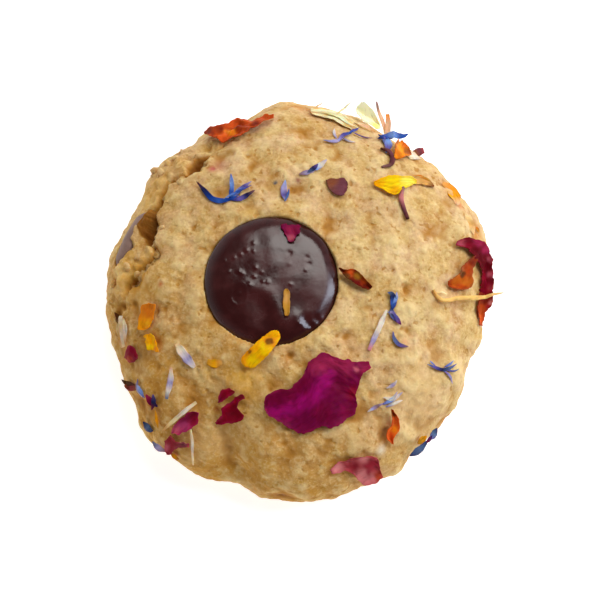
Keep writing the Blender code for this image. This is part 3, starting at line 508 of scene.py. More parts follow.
RUST_PETALS = {
    "rust_petal_right": Petal(
        ((37.0, 0.8, 10.8), (37.3, -1.4, 9.6), (36.3, -3.0, 9.4), (36.1, -4.4, 9.0), (35.5, -5.5)),
        ((34.9, 0.6), (34.7, -1.4), (34.8, -3.0), (35.0, -4.4), (35.1, -5.7)),
        (-0.1, -0.1, 0.0), 0.2, "rust", "brick",
        {"blood": ((36.0, -0.2, 0.9),), "crimson": ((36.8, -1.8, 0.5),), "mauve": ((36.9, -1.0, 0.3),),
         "rust": ((35.4, -2.6, 0.8),), "flame": ((35.6, -4.4, 0.8),)},
        cuts=(40, 20), crumple=0.3, ragged=0.28,
    ),
    "rust_petal_middle": Petal(
        ((8.3, 2.1), (9.6, 1.6), (10.9, 1.8), (12.4, 0.9), (13.9, -0.6), (14.4, -1.3)),
        ((8.3, 1.7), (8.8, 1.0), (9.7, 0.0), (10.9, -0.7), (12.3, -1.5), (14.0, -1.9)),
        (0.5, 0.4, 0.1), 0.6, "brick", "umber",
        {"flame": ((10.2, 1.4, 0.6),), "ochre": ((11.6, 0.6, 0.5),), "rust": ((12.8, -0.3, 0.5),),
         "umber": ((9.6, 0.6, 0.6),), "blood": ((11.4, -0.7, 0.7),), "brick": ((13.5, -1.4, 0.7),)},
        cuts=(44, 24), crumple=0.3, ragged=0.12,
    ),
    "brown_flake": Petal(
        ((5.9, 20.1), (7.8, 20.5), (9.7, 20.3), (10.2, 19.3)),
        ((6.5, 18.9), (7.4, 17.5), (9.4, 17.1), (10.2, 18.7)),
        (0.1, 0.1, 0.1), 0.1, "puce", "chestnut",
        {"puce": ((9.2, 18.0, 0.8), (8.4, 18.8, 0.6)), "sienna": ((7.2, 19.8, 0.9),)},
        cuts=(28, 22), crumple=0.12, ragged=0.2,
    ),
}
YELLOW_PETALS = {
    "orange_petal_left_lower": Petal(
        ((-28.0, -9.0), (-27.6, -10.4), (-27.0, -11.9)),
        ((-26.6, -8.8), (-25.4, -10.6), (-24.7, -12.4)),
        (0.3, 0.1, 0.3), 0.2, "marigold", "amber",
        {"marigold": ((-26.6, -10.3, 0.7),), "ember": ((-25.3, -12.0, 0.5),), "amber": ((-27.6, -10.6, 0.4),
         (-25.6, -10.6, 0.4)), "yellow": ((-26.5, -11.4, 0.5),)},
        cuts=(30, 22), crumple=0.4, ragged=0.34,
    ),
    "yellow_petal_back": Petal(
        ((15.0, 19.7), (16.2, 20.4), (17.9, 21.2), (20.4, 21.4), (22.4, 21.4), (23.2, 21.0)),
        ((15.2, 19.2), (17.2, 17.9), (18.9, 17.2), (20.2, 18.3), (21.9, 19.4), (23.1, 20.4)),
        (0.2, 0.4, 0.3), 0.4, "yellow", "amber",
        {"amber": ((15.8, 19.6, 0.7), (18.9, 18.2, 0.7)), "yellow": ((18.4, 20.6, 1.2),),
         "lemon": ((21.6, 20.7, 1.2),)},
        cuts=(54, 36), crumple=0.16, ragged=0.14, ribs=4.0,
    ),
    "yellow_petal_front": Petal(
        ((-3.8, -9.4), (-7.1, -12.3), (-10.1, -15.0)),
        ((-2.0, -10.5), (-4.4, -14.0), (-7.9, -16.9)),
        (0.3, 0.6, 0.3), -0.4, "marigold", "marigold",
        {"ember": ((-4.4, -11.8, 0.8), (-8.0, -13.7, 0.55)), "umber": ((-4.4, -11.8, 0.55),
         (-7.9, -13.6, 0.3)), "amber": ((-5.9, -14.4, 0.5), (-6.6, -12.7, 0.6)),
         "yellow": ((-5.3, -13.3, 0.9), (-7.4, -15.0, 0.8)), "orange": ((-9.4, -15.8, 1.0),),
         "marigold": ((-3.0, -10.4, 0.6),)},
        cuts=(54, 28), crumple=0.24, blunt=8.0,
    ),
}
STRAW_PETALS = {
    "pale_petal": Petal(
        ((14.9, 33.2), (13.0, 34.6), (12.0, 36.0, 12.0), (12.0, 37.4, 12.4), (12.6, 38.4, 13.0)),
        ((17.0, 33.2), (17.0, 34.2, 10.6), (16.2, 35.6, 11.8), (15.2, 37.2, 12.2), (14.0, 38.3, 13.0)),
        (0.2, 0.3, 0.1), 0.2, "cream", "cream",
        {"cream": ((13.8, 36.2, 1.2),), "lemon": ((15.8, 33.8, 0.8),)},
        cuts=(40, 24), crumple=0.12, ragged=0.14, blunt=5.0,
    ),
    "straw_petal": Petal(
        ((3.2, 37.4), (6.0, 37.2), (8.6, 36.4), (11.6, 34.5)),
        ((3.4, 35.9), (6.4, 34.7), (8.6, 33.5), (11.2, 32.2)),
        (0.0, 0.0, 0.0), 0.2, "straw", "cream",
        {"cream": ((5.2, 36.9, 0.8), (7.8, 36.2, 0.8), (7.0, 35.0, 0.8), (9.0, 34.2, 0.8)),
         "gold": ((6.2, 36.0, 0.4), (10.6, 33.7, 0.8))},
        cuts=(44, 24), ribs=4.0,
    ),
    "yellow_sliver": Petal(
        ((-1.8, -2.0), (-1.9, -4.5), (-1.7, -7.0)),
        ((-0.8, -2.0), (-0.7, -4.5), (-0.8, -7.0)),
        (0.1, 0.1, 0.1), 0.2, "ochre", "olive",
        {"tan": ((-1.3, -3.6, 0.7),), "ochre": ((-1.2, -5.6, 0.5),)},
        cuts=(32, 12), crumple=0.12, ragged=0.14, blunt=8.0,
    ),
}

# The dried thread that lies across the right-hand petals and out past the edge.
THREAD = Strand(0.46, ((26.0, -0.9, 18.5), (26.6, -2.0, 18.3), (27.6, -2.7, 18.0), (28.9, -2.6, 17.5),
                (30.8, -2.0, 16.6), (33.8, -1.5, 15.1), (36.8, -0.6, 14.2), (39.2, 0.0, 13.4)),
                "tan gold gold gold gold straw", rises=(0, 0, 0), thick=0.3, trough=0.0, ends=(0.6, 0.2))
# Scraps of cornflower floret: a thin tube that opens into pointed lobes.
FLORETS = (
    Strand(0.6, ((-18.4, 20.3), (-17.0, 18.6), (-15.4, 16.8), (-13.6, 16.3), (-11.9, 16.6), (-10.4, 17.3)),
           "chestnut ink navy blue navy blue", rises=(0.4, 0.1, 0.2)),
    Strand(0.45, ((-12.3, 16.6), (-11.8, 18.5), (-11.8, 20.5), (-11.9, 21.6)), "navy blue sky blue",
           rises=(0.1, 0.2, 0.4)),
    Strand(0.45, ((-12.0, 16.9), (-10.2, 18.4), (-9.1, 19.2), (-8.0, 20.0)), "blue sky violet lilac",
           rises=(0.1, 0.2, 0.3)),
    Strand(0.55, ((-12.0, 16.3), (-10.2, 16.5), (-8.9, 17.1), (-7.3, 18.0)), "navy violet ink taupe",
           rises=(0.1, 0.2, 0.3)),
    Strand(0.25, ((-13.4, 16.6), (-10.9, 17.8), (-7.9, 19.1)), "sky blue violet", rises=(0.3, 0.4, 0.4)),
    Strand(0.4, ((5.5, 29.4), (7.0, 29.3), (8.5, 29.5), (9.7, 30.8), (10.7, 31.0), (11.5, 32.4)),
           "steel lilac lilac violet blue violet"),
    Strand(0.26, ((8.3, 29.9), (7.8, 31.0), (7.8, 32.3)), "lilac bone"),
    Strand(0.3, ((10.4, 31.0), (11.8, 32.0), (12.6, 32.9)), "blue violet"),
    Strand(0.22, ((9.2, 30.2), (10.6, 29.2), (11.8, 28.9)), "violet bone"),
    Strand(0.2, ((11.3, 31.1), (13.2, 30.4), (15.2, 30.4)), "violet taupe"),
    Strand(0.75, ((16.6, 30.4), (17.9, 31.6), (19.6, 32.2, 13.0), (21.2, 32.0, 12.4), (22.4, 32.8, 11.4)),
           "violet blue sky blue navy", rises=(0.3, 0.3, 0.3), thick=0.1, ends=(0.3, 0.1)),
    Strand(0.8, ((17.6, 31.4), (17.9, 29.9), (17.9, 28.2), (17.5, 26.5)), "blue sky violet steel",
           rises=(0.3, 0.2, 0.2)),
    Strand(0.45, ((15.9, 29.9), (17.2, 30.5), (18.6, 31.4)), "ink navy blue", rises=(0.3, 0.5, 0.5)),
    Strand(0.45, ((16.2, 31.6), (16.9, 30.6), (17.2, 28.9)), "ink violet steel", rises=(0.1, 0.4, 0.3)),
    Strand(0.4, ((17.4, 31.4), (18.9, 31.9), (19.9, 33.0, 12.0)), "blue violet ink", rises=(0.3, 0.4, 0.4)),
    Strand(0.5, ((0.9, 21.3), (3.1, 22.0), (4.6, 23.2)), "taupe lilac bone"),
    Strand(0.6, ((3.0, 22.0), (4.8, 23.2), (6.3, 24.7)), "blue sky bone lilac", rises=(0.2, 0.3, 0.5)),
    Strand(0.5, ((2.6, 21.6), (3.6, 22.4), (4.6, 23.6)), "steel ink violet", rises=(0.3, 0.4, 0.4)),
    Strand(0.62, ((-1.6, 20.2), (-1.9, 18.2), (-1.5, 15.8)), "sky lilac violet lilac"),
    Strand(0.24, ((-0.9, 18.6), (-1.2, 17.0), (-1.8, 15.6)), "blue steel", rises=(0.2, 0.3, 0.2)),
    Strand(0.6, ((17.3, -2.2), (18.0, -2.3), (18.4, -3.4), (18.1, -5.4)), "steel ink blue ink"),
    Strand(0.34, ((19.0, -1.9), (18.9, -3.1), (18.1, -4.4)), "lilac sky blue", rises=(0.3, 0.2, 0.1)),
    Strand(0.6, ((18.1, -4.6), (18.1, -6.0), (19.1, -7.2), (19.8, -8.0)), "ink steel violet plum"),
    Strand(0.3, ((17.2, -5.8), (18.2, -5.9), (18.8, -7.6)), "lilac violet ink", rises=(0.1, 0.3, 0.3)),
    Strand(0.4, ((18.3, -9.3), (18.5, -10.5), (19.3, -11.6), (21.2, -12.0)), "violet steel violet taupe"),
    Strand(0.34, ((24.9, -14.8), (26.7, -15.2), (28.0, -15.4), (29.2, -14.9), (30.6, -13.7)),
           "steel violet ink steel violet"),
    Strand(0.24, ((28.0, -15.4), (29.3, -16.3), (29.9, -17.6)), "violet lilac"),
    Strand(0.22, ((28.2, -15.0), (29.3, -14.0), (29.8, -13.3)), "violet sky", rises=(0.1, 0.3, 0.5)),
    Strand(0.2, ((28.6, -15.4), (30.0, -15.2), (30.8, -14.6)), "violet steel"),
    Strand(0.2, ((25.5, -14.1), (26.8, -15.0)), "sky violet"),
    Strand(0.34, ((13.6, -24.0), (14.7, -23.2), (16.4, -22.2)), "bone lilac taupe lilac"),
    Strand(0.42, ((16.2, -22.4), (17.6, -21.6), (18.8, -20.8), (19.8, -20.0)), "violet sky bone lilac",
           rises=(0.1, 0.3, 0.4)),
    Strand(0.36, ((16.4, -21.2), (17.9, -21.2), (18.8, -20.0)), "bone bone lilac", rises=(0.1, 0.3, 0.5)),
    Strand(0.34, ((16.8, -22.8), (18.4, -22.0), (20.0, -21.4)), "violet bone bone"),
    Strand(0.3, ((17.0, -19.6), (18.2, -18.9), (18.9, -18.0)), "bone lilac bone", rises=(0.2, 0.3, 0.4)),
    Strand(0.4, ((-29.8, -17.3), (-28.8, -18.6), (-27.8, -20.3)), "lilac sky violet"),
    Strand(0.3, ((-29.4, -16.6), (-29.4, -18.4), (-28.6, -20.0)), "violet bone"),
    Strand(0.7, ((-27.4, -19.6), (-26.7, -20.9), (-25.4, -22.2)), "rose plum ink"),
    Strand(0.5, ((-26.0, -19.8), (-26.0, -21.4), (-26.6, -22.6)), "violet ink wine", rises=(0.2, 0.3, 0.2)),
    Strand(0.7, ((-28.6, -24.3), (-27.3, -25.4), (-26.2, -26.0)), "ink steel ink"),
    Strand(0.8, ((21.4, -30.4), (23.3, -29.1), (25.2, -27.8)), "ink steel ink", rises=(-0.2, -0.1, -0.1)),
    Strand(0.8, ((22.9, -28.1), (25.0, -26.9)), "ochre amber", rises=(-0.1, 0.0, 0.0)),
    Strand(0.45, ((24.8, -28.1), (26.2, -27.0)), "plum ink", rises=(-0.1, 0.0, 0.0)),
    Strand(0.85, ((25.6, -27.7), (26.7, -26.7), (27.5, -25.8)), "violet steel ink", rises=(-0.2, 0.0, 0.0)),
)
# Pale bracts and straws.
STRAWS = (
    Strand(0.55, ((17.1, -5.4), (15.7, -8.8), (13.8, -13.0)), "bone bone bone lilac mauve",
           rises=(0.3, 0.3, 0.2), thick=0.12, ends=(0.3, 0.6)),
    Strand(0.85, ((-21.7, -11.3), (-20.6, -12.9), (-18.4, -15.9)), "straw bone lilac bone", ends=(0.4, 0.4)),
    Strand(0.56, ((-22.7, -15.5), (-22.9, -18.6), (-23.4, -21.0)), "peach bone lilac bone steel",
           ends=(0.4, 0.5)),
    Strand(0.42, ((-24.2, -26.3), (-22.1, -24.9), (-20.1, -23.5), (-18.2, -22.2)), "tan straw bone straw",
           rises=(0.5, 0.7, 0.5), thick=0.12, ends=(0.4, 0.7)),
    Strand(0.28, ((-19.1, -26.7), (-18.8, -28.6), (-18.7, -30.2), (-18.6, -32.1)), "straw bone straw",
           rises=(0.5, 0.4, 0.3), thick=0.16, trough=0.0, ends=(0.8, 0.4)),
    Strand(0.62, ((-34.1, -4.6), (-33.8, -7.2), (-33.3, -10.2)), "olive straw tan straw",
           rises=(0.0, 0.1, 0.0), trough=0.2, ends=(0.5, 0.5)),
    Strand(0.6, ((-33.1, -4.4), (-32.9, -7.2), (-32.7, -10.2)), "bone straw bone straw",
           rises=(0.1, 0.2, 0.1), trough=0.2, ends=(0.6, 0.5)),
    Strand(0.5, ((-32.3, -5.0), (-32.1, -7.4), (-32.3, -9.8)), "straw bone tan", rises=(0.1, 0.2, 0.1)),
    Strand(0.3, ((-25.8, -22.6), (-25.5, -24.4), (-25.2, -25.9)), "ochre amber ochre", rises=(0.3, 0.3, 0.2)),
    Strand(0.42, ((16.1, 39.0, 12.4), (16.6, 37.4, 11.4), (17.6, 35.2, 10.6), (18.2, 32.6)),
           "taupe peach peach straw", rises=(0.2, 0.2, 0.2), thick=0.12, ends=(0.3, 0.6)),
    Strand(0.6, ((18.4, 37.0, 11.4), (18.6, 35.2, 10.6), (18.2, 32.4)), "orange peach peach taupe",
           rises=(0.2, 0.2, 0.2), thick=0.12, ends=(0.6, 0.6)),
    Strand(0.9, ((22.6, 21.0), (24.0, 21.3), (25.4, 21.1), (26.6, 20.4)), "gold tan tan brick",
           rises=(0.2, 0.2, 0.1), ends=(0.9, 0.2)),
    Strand(0.3, ((22.3, 22.1), (24.1, 22.1), (25.9, 21.3)), "tan ember ochre", rises=(0.4, 0.4, 0.3)),
    Strand(1.5, ((28.7, 22.3), (29.9, 21.4), (30.6, 19.4), (31.4, 17.4)), "tan orange amber peach",
           rises=(-0.1, -0.1, -0.1), trough=0.1, ends=(0.3, 0.2)),
    Strand(0.5, ((29.8, 22.6), (31.0, 20.8), (31.4, 18.6)), "ember tan ember", rises=(0.1, 0.1, 0.0)),
    Strand(1.0, ((32.8, 15.6), (33.8, 13.6), (34.4, 11.8)), "straw tan straw", rises=(-0.1, -0.1, -0.1),
           trough=0.1),
    Strand(0.45, ((35.2, 13.9), (35.7, 12.8)), "ember ochre", rises=(0.0, 0.0, 0.0)),
    Strand(1.4, ((22.0, 27.6), (23.2, 28.4), (24.4, 29.0)), "straw bone peach", rises=(-0.1, 0.0, 0.0),
           thick=0.16, trough=0.1, ends=(0.6, 0.8)),
    Strand(1.1, ((23.9, 29.4), (24.9, 29.8), (25.5, 29.9)), "sienna puce dusky", rises=(0.1, 0.2, 0.2),
           thick=0.16, trough=0.1, ends=(0.8, 0.7)),
    Strand(0.4, ((2.2, 37.4), (4.6, 37.6), (7.4, 37.0), (9.3, 36.2), (11.0, 34.4)), "tan gold cream straw",
           rises=(0.1, 0.2, 0.2)),
    Strand(0.34, ((2.7, 36.6), (6.1, 36.1), (10.0, 33.8), (11.6, 32.4)), "tan cream gold",
           rises=(0.2, 0.4, 0.3)),
    Strand(0.36, ((5.1, 36.4), (7.9, 35.2), (10.4, 33.6), (12.4, 32.4)), "gold cream straw",
           rises=(0.3, 0.5, 0.3)),
    Strand(0.5, ((11.6, 34.4), (13.6, 33.4), (15.8, 32.0)), "straw peach tan", rises=(0.2, 0.2, 0.2)),
    Strand(0.24, ((8.2, 36.0), (9.8, 37.6, 12.2), (11.2, 38.8, 12.8)), "straw cream"),
    Strand(0.22, ((3.2, 36.8), (4.4, 38.4, 10.8), (5.6, 39.4, 11.2)), "tan straw"),
    Strand(0.18, ((26.4, -1.6, 18.4), (27.6, -1.2, 18.1), (28.6, -1.4, 17.4)), "gold cream", rises=(0, 0, 0)),
)
# Stems and small bits of petal.
STEMS = (
    Strand(0.5, ((20.5, 18.9), (20.1, 16.9), (20.7, 14.8), (21.5, 12.8)), "taupe mauve puce chestnut",
           rises=(0.5, 0.2, 0.2), thick=0.34, trough=0.0, ends=(0.5, 0.7)),
    Strand(0.5, ((16.4, 27.4), (17.8, 27.0), (18.7, 25.6), (18.3, 24.0), (16.6, 23.2)),
           "umber puce chestnut taupe", rises=(0.3, 0.4, 0.2), thick=0.3, trough=0.0, ends=(0.4, 0.4)),
    Strand(0.8, ((-16.0, -15.0), (-14.6, -15.4), (-13.2, -15.1)), "ochre amber tan", rises=(-0.1, -0.1, -0.1),
           thick=0.05, trough=0.1, ends=(0.6, 0.6)),
    Strand(0.7, ((-26.2, -27.6), (-24.8, -28.8), (-23.6, -29.6)), "steel lilac taupe"),
    Strand(0.5, ((-22.9, -29.9), (-22.2, -30.5), (-21.3, -31.1)), "sienna amber sienna", rises=(0, 0, 0),
           thick=0.1),
    Strand(0.8, ((-32.1, -17.2), (-30.9, -17.6), (-29.7, -18.4)), "sienna dusky sienna"),
    Strand(0.4, ((-32.6, -16.0), (-31.2, -16.8), (-29.8, -17.6)), "umber umber chestnut",
           rises=(0.3, 0.3, 0.2)),
    Strand(0.5, ((-34.7, -3.2), (-34.3, -4.4), (-33.9, -5.6)), "umber umber olive"),
    Strand(0.75, ((36.6, 5.2, 9.9), (37.4, 3.6, 9.6), (37.6, 1.6, 9.4)), "tan sienna umber", rises=(0, 0, 0)),
)


def colour_setting(name, description, default):
    """A colour that a user may change."""
    return FloatVectorProperty(name=name, description=description, default=default, subtype="COLOR")


def share_setting(name, description, default):
    """A value from 0 to 1 that a user may change."""
    return FloatProperty(name=name, description=description, default=default, min=0, max=1, subtype="FACTOR")


class DoughSettings(bpy.types.PropertyGroup):
    """The baked dough."""

    crumb_height: FloatProperty(
        name="Crumb height", description="How high the fine crumb stands", default=0.4 * MM, unit="LENGTH",
        precision=5,
    )
    pit_count: IntProperty(name="Pits", description="How many small pits the crust has", default=120, min=0)
    crust: colour_setting("Crust", "The crust's main colour", shade(214, 175, 108))
    rosy: colour_setting("Rosy crust", "The crust's pinkish patches", shade(218, 176, 124))
    # The Grain colour is also painted light on the raised crumb and swells.
    grain_and_painted_light: colour_setting("Grain", "The pale grains of the crumb", shade(242, 214, 152))
    golden: colour_setting("Golden crust", "The crust's deeper golden patches", shade(204, 150, 64))
    # The Hollows colour is partly painted shade in the pits, creases and crack, and the Deep crack colour is
    # painted shade deep in the crack.
    amber_and_hollow_shade: colour_setting("Hollows", "The amber of pits and creases", shade(182, 120, 34))
    deep: colour_setting("Deep crack", "The brown deep in the crack", shade(136, 80, 14))
    # Toasted crust browns the foot and patches, and is painted shade towards the near and left sides.
    toasted_and_shaded: colour_setting("Toasted crust", "The browner near side and base", shade(203, 143, 44))


class ChocolateSettings(bpy.types.PropertyGroup):
    """The button and the chunk."""

    dark: colour_setting("Dark chocolate", "The button's colour", shade(52, 14, 13))
    gloss: share_setting("Roughness", "How dull the button is", 0.17)
    bloom: colour_setting("Bloom", "The chunk's dull bloom", shade(150, 118, 104))


class PetalSettings(bpy.types.PropertyGroup):
    """The petals, florets and straws."""

    veins: share_setting("Veins", "How strongly veins darken the petals", 0.5)
    satin: share_setting("Roughness", "How dull the petals are", 0.55)


class StageSettings(bpy.types.PropertyGroup):
    """The floor, the lights and the camera."""

    floor: colour_setting("Floor", "The floor's colour", (0.7, 0.7, 0.695))
    key_power: FloatProperty(
        name="Far light", description="The power of the far light", default=2.0, unit="POWER"
    )
    window_power: FloatProperty(
        name="Side light", description="The power of the light on the right", default=1.7, unit="POWER"
    )
    sky: FloatProperty(name="Sky", description="The strength of the light all round", default=0.9, min=0)


def near(gap, reach, power=2):
    """How near something is: 1 where there is no gap, falling softly towards 0 past the reach."""
    return np.exp(-((gap / reach) ** power))


def plan_angle(x, y):
    """The angle, in degrees, that a plan place lies at."""
    return np.degrees(np.arctan2(y, x))


def outline(angle):
    """The dough's radius in plan towards an angle in degrees."""
    radius = RADIUS + LEAN * np.cos(np.radians(angle - LEAN_ANGLE))
    radius = radius + OVAL * np.cos(2 * np.radians(angle - OVAL_ANGLE))
    for towards, half_width, out in EDGE_LUMPS:
        off = (angle - towards + 180) % 360 - 180
        radius = radius + out * near(off, half_width)
    return radius


def dome_height(share):
    """The smooth top's height at a share of the way from the middle to the edge."""
    fall = np.clip(1 - np.clip(share, 0, 1) ** DOME_FULLNESS, 0, 1)
    return BELLY_HEIGHT + (HEIGHT - BELLY_HEIGHT) * fall ** (1 / SHOULDER_ROUND)


def side_profile():
    """The half section from the top's middle, over the belly, to the base's middle: for each point its share
    of the length, its share of the plan radius, its inset from it, and its height."""
    turn = np.linspace(0, np.pi / 2, DOME_ROWS)
    share = np.sin(turn) ** (2 / DOME_FULLNESS)
    rows = [np.stack([share, 0 * share, dome_height(share)], -1)]
    down = np.linspace(0, 1, SIDE_ROWS)[1:]
    tuck = FOOT_TUCK * (1 - np.sqrt(1 - FOOT_TURN * down**2))
    rows.append(np.stack([1 + 0 * down, tuck, BELLY_HEIGHT * (1 - down)], -1))
    inward = np.linspace(1, 0, BASE_ROWS)[1:]
    rows.append(np.stack([inward, tuck[-1] * inward, 0 * inward], -1))
    rows = np.concatenate(rows)
    step = np.hypot(np.diff(rows[:, 0] * RADIUS - rows[:, 1]), np.diff(rows[:, 2]))
    length = np.concatenate([[0], np.cumsum(step)])
    return np.column_stack([length / length[-1], rows])


PROFILE = side_profile()


def at_profile(share, angle):
    """Points of the smooth dough at shares of the half section and plan angles in degrees."""
    scale, inset, height = (np.interp(share, PROFILE[:, 0], PROFILE[:, column]) for column in (1, 2, 3))
    radius = outline(angle) * scale - inset
    turn = np.radians(angle)
    return np.stack([radius * np.cos(turn), radius * np.sin(turn), height], -1)


def smooth_dough(directions):
    """Points and outward normals of the smooth dough towards the given unit vectors."""
    x, y, z = directions.T
    share = np.interp(np.arccos(np.clip(z, -1, 1)) / np.pi, (0, TOP_SHARE, 1), (0, FOOT_SHARE, 1))
    angle = plan_angle(x, y)
    ahead, behind = (np.clip(share + step, 0, 1) for step in (SECTION_STEP, -SECTION_STEP))
    along = at_profile(ahead, angle) - at_profile(behind, angle)
    turn = np.radians(angle)
    outward = along[:, 0] * np.cos(turn) + along[:, 1] * np.sin(turn)
    normals = np.stack([-along[:, 2] * np.cos(turn), -along[:, 2] * np.sin(turn), outward], -1)
    return at_profile(share, angle), normals / np.linalg.norm(normals, axis=1, keepdims=True)


def top_point(x, y):
    """A point of the smooth top over a plan place, and the outward normal there."""
    angle = plan_angle(x, y)
    share = min(np.hypot(x, y) / outline(angle), EDGE_REACH)
    rise = dome_height(share + SLOPE_STEP) - dome_height(share - SLOPE_STEP)
    slope = rise / (2 * SLOPE_STEP * outline(angle))
    turn = np.radians(angle)
    radius = share * outline(angle)
    point = Vector((radius * np.cos(turn), radius * np.sin(turn), dome_height(share)))
    return point, Vector((-slope * np.cos(turn), -slope * np.sin(turn), 1.0)).normalized()


def from_place(points, x, y):
    """How far each point is from the smooth top over a plan place."""
    return np.linalg.norm(points - np.array(top_point(x, y)[0]), axis=1)


def to_runs(points, knots):
    """For each straight run of a route, how far each point is from it and which share of it is nearest."""
    for start, end in zip(knots, knots[1:]):
        run = end - start
        share = np.clip((points - start) @ run / (run @ run), 0, 1)
        yield np.linalg.norm(points - start - share[:, None] * run, axis=1), share


def along_route(points, route):
    """How far each point is from a route over the top, and the width and depth of the route there."""
    knots = np.array([top_point(x, y)[0] for x, y, _, _ in route])
    sizes = np.array([place[2:] for place in route])
    distance = np.full(len(points), np.inf)
    size = np.zeros((len(points), 2))
    for (gap, share), size_a, size_b in zip(to_runs(points, knots), sizes, sizes[1:]):
        nearer = gap < distance
        distance[nearer] = gap[nearer]
        size[nearer] = (size_a + share[:, None] * (size_b - size_a))[nearer]
    return distance, size[:, 0], size[:, 1]


def ripple(points, wavelength):
    """Smooth noise from -1 to 1 at each point."""
    return np.array([noise.noise(Vector(point)) for point in points / wavelength])


def grains(points, wavelength):
    """Rounded lumps with creases between them, from about -0.5 to 0.5."""
    return 0.45 - np.array([noise.voronoi(Vector(point))[0][0] for point in points / wavelength])


def outside_crack(points, distance):
    """How far each point is inside the torn strip along the crack's outer side, from 0 to 1."""
    plan = np.array([place[:2] for place in CRACK])
    angles = plan_angle(*plan.T)
    angle = plan_angle(*points.T[:2])
    beyond = np.hypot(points[:, 0], points[:, 1]) > np.interp(angle, angles, np.hypot(*plan.T))
    return np.clip(1 - distance / TORN_WIDTH, 0, 1) * beyond


def broad_relief(points):
    """How far the baked surface stands out from the smooth form, and how deep in a crack or pit it is."""
    out = sum(height * ripple(points, wavelength) for wavelength, height in SWELLS)
    out *= 1 + NEAR_RELIEF * np.clip(-points[:, 1] / RADIUS, 0, 1)
    distance, width, depth = along_route(points, FOLD)
    out -= depth * near(distance, width)
    wander = sum(reach * ripple(points, wavelength) for wavelength, reach in CRACK_WANDER)
    distance, width, depth = along_route(points, CREASE)
    crease = depth * near(distance + CREASE_WANDER * wander, width)
    distance, width, depth = along_route(points, CRACK)
    torn = crease + depth * np.clip(1 - (distance + wander) / width, 0, 1) ** CRACK_WALLS
    strip = outside_crack(points, distance)
    lumps = grains(points + wander[:, None], TORN_LUMP) + 0.5 * grains(points, TORN_GRIT) + 0.5 * wander
    out += TORN_ROUGH * np.sqrt(strip) * lumps - TORN_DROP * strip
    for x, y, radius, depth in PITS:
        torn += depth * near(from_place(points, x, y) + wander, radius)
    from_button = np.hypot(points[:, 0] - BUTTON_CENTRE[0], points[:, 1] - BUTTON_CENTRE[1])
    lip = near(from_button - BUTTON_RADIUS - LIP_WIDTH / 2, LIP_WIDTH)
    out += SOCKET_LIP * lip * (points[:, 2] > HEIGHT / 2)
    fade = np.clip((points[:, 2] - RELIEF_STARTS) / (RELIEF_FULL - RELIEF_STARTS), 0, 1)
    return (out - torn) * fade, torn * fade


def chunk_frame():
    """The chunk's middle and its directions along, across and out of the dough's side."""
    point, normal = top_point(*CHUNK_PLACE)
    level = Vector((0, 0, 1)).cross(normal).normalized()
    turn = np.radians(CHUNK_SLOPE)
    along = level * np.cos(turn) + normal.cross(level) * np.sin(turn)
    return point - normal * CHUNK_SINK, along, normal.cross(along), normal


def ball_mesh(cuts):
    """A cube cut into an even grid, whose points then stand for directions."""
    bm = bmesh.new()
    bmesh.ops.create_cube(bm, size=2.0)
    bmesh.ops.subdivide_edges(bm, edges=bm.edges, cuts=cuts, use_grid_fill=True)
    return bm


def ball_directions(bm):
    """The unit vector that each point of the ball's grid stands for, spread evenly."""
    spread = np.tan(np.array([vert.co for vert in bm.verts]) * np.pi / 4)
    return spread / np.linalg.norm(spread, axis=1, keepdims=True)


def move(verts, points):
    """Puts each of a mesh's points in its new place."""
    for vert, point in zip(verts, points):
        vert.co = point


def finish_mesh(bm, name):
    """Turns a bmesh in millimetres into a smooth object in metres that stands at the origin."""
    bmesh.ops.scale(bm, vec=(MM, MM, MM), verts=bm.verts)
    mesh = bpy.data.meshes.new(name)
    bm.to_mesh(mesh)
    bm.free()
    mesh.shade_smooth()
    obj = bpy.data.objects.new(name, mesh)
    bpy.context.scene.collection.objects.link(obj)
    return obj


def give(obj, name, kind, values):
    """Stores one value for each point of an object's mesh, for its material to read."""
    attribute = obj.data.attributes.new(name, kind, "POINT")
    field = {"FLOAT": "value", "FLOAT_COLOR": "color"}[kind]
    attribute.data.foreach_set(field, np.asarray(values, dtype=np.float32).ravel())


def settle(obj, material, slot, *nodes):
    """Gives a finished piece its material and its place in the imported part."""
    obj.data.materials.append(material)
    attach(obj, "root")
    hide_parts(*nodes)


def add_node(tree, kind, inputs=None, **settings):
    """Adds a node to a tree. An input is a value, or another node's output to link."""
    node = tree.nodes.new(kind)
    for name, value in settings.items():
        setattr(node, name, value)
    for name, value in (inputs or {}).items():
        if isinstance(value, bpy.types.NodeSocket):
            tree.links.new(value, node.inputs[name])
        else:
            node.inputs[name].default_value = value
    return node


def new_material(name, **values):
    """A material, its node tree and its shader, with constant values set on the shader."""
    material = bpy.data.materials.new(name)
    material.use_nodes = True
    shader = material.node_tree.nodes["Principled BSDF"]
    for socket, value in values.items():
        shader.inputs[socket.replace("_", " ")].default_value = value
    return material, material.node_tree, shader


def object_place(tree):
    """The place on an object that a material's pattern follows."""
    return add_node(tree, "ShaderNodeTexCoord").outputs["Object"]


def stored(tree, name, output="Fac"):
    """What a piece's mesh stores at each point under a name."""
    return add_node(tree, "ShaderNodeAttribute", attribute_name=name).outputs[output]


def speckle(tree, vector, wavelength, detail=2.0, roughness=0.5):
    """Noise of a wavelength in millimetres, from 0 to 1."""
    inputs = {"Vector": vector, "Scale": 1 / (wavelength * MM), "Detail": detail, "Roughness": roughness}
    return add_node(tree, "ShaderNodeTexNoise", inputs).outputs["Fac"]


def between(tree, value, low, high, to_low=0.0, to_high=1.0):
    """A value's share of the way from low to high, kept inside that range, smoothly."""
    inputs = {"Value": value, "From Min": low, "From Max": high, "To Min": to_low, "To Max": to_high}
    return add_node(tree, "ShaderNodeMapRange", inputs, interpolation_type="SMOOTHSTEP").outputs["Result"]


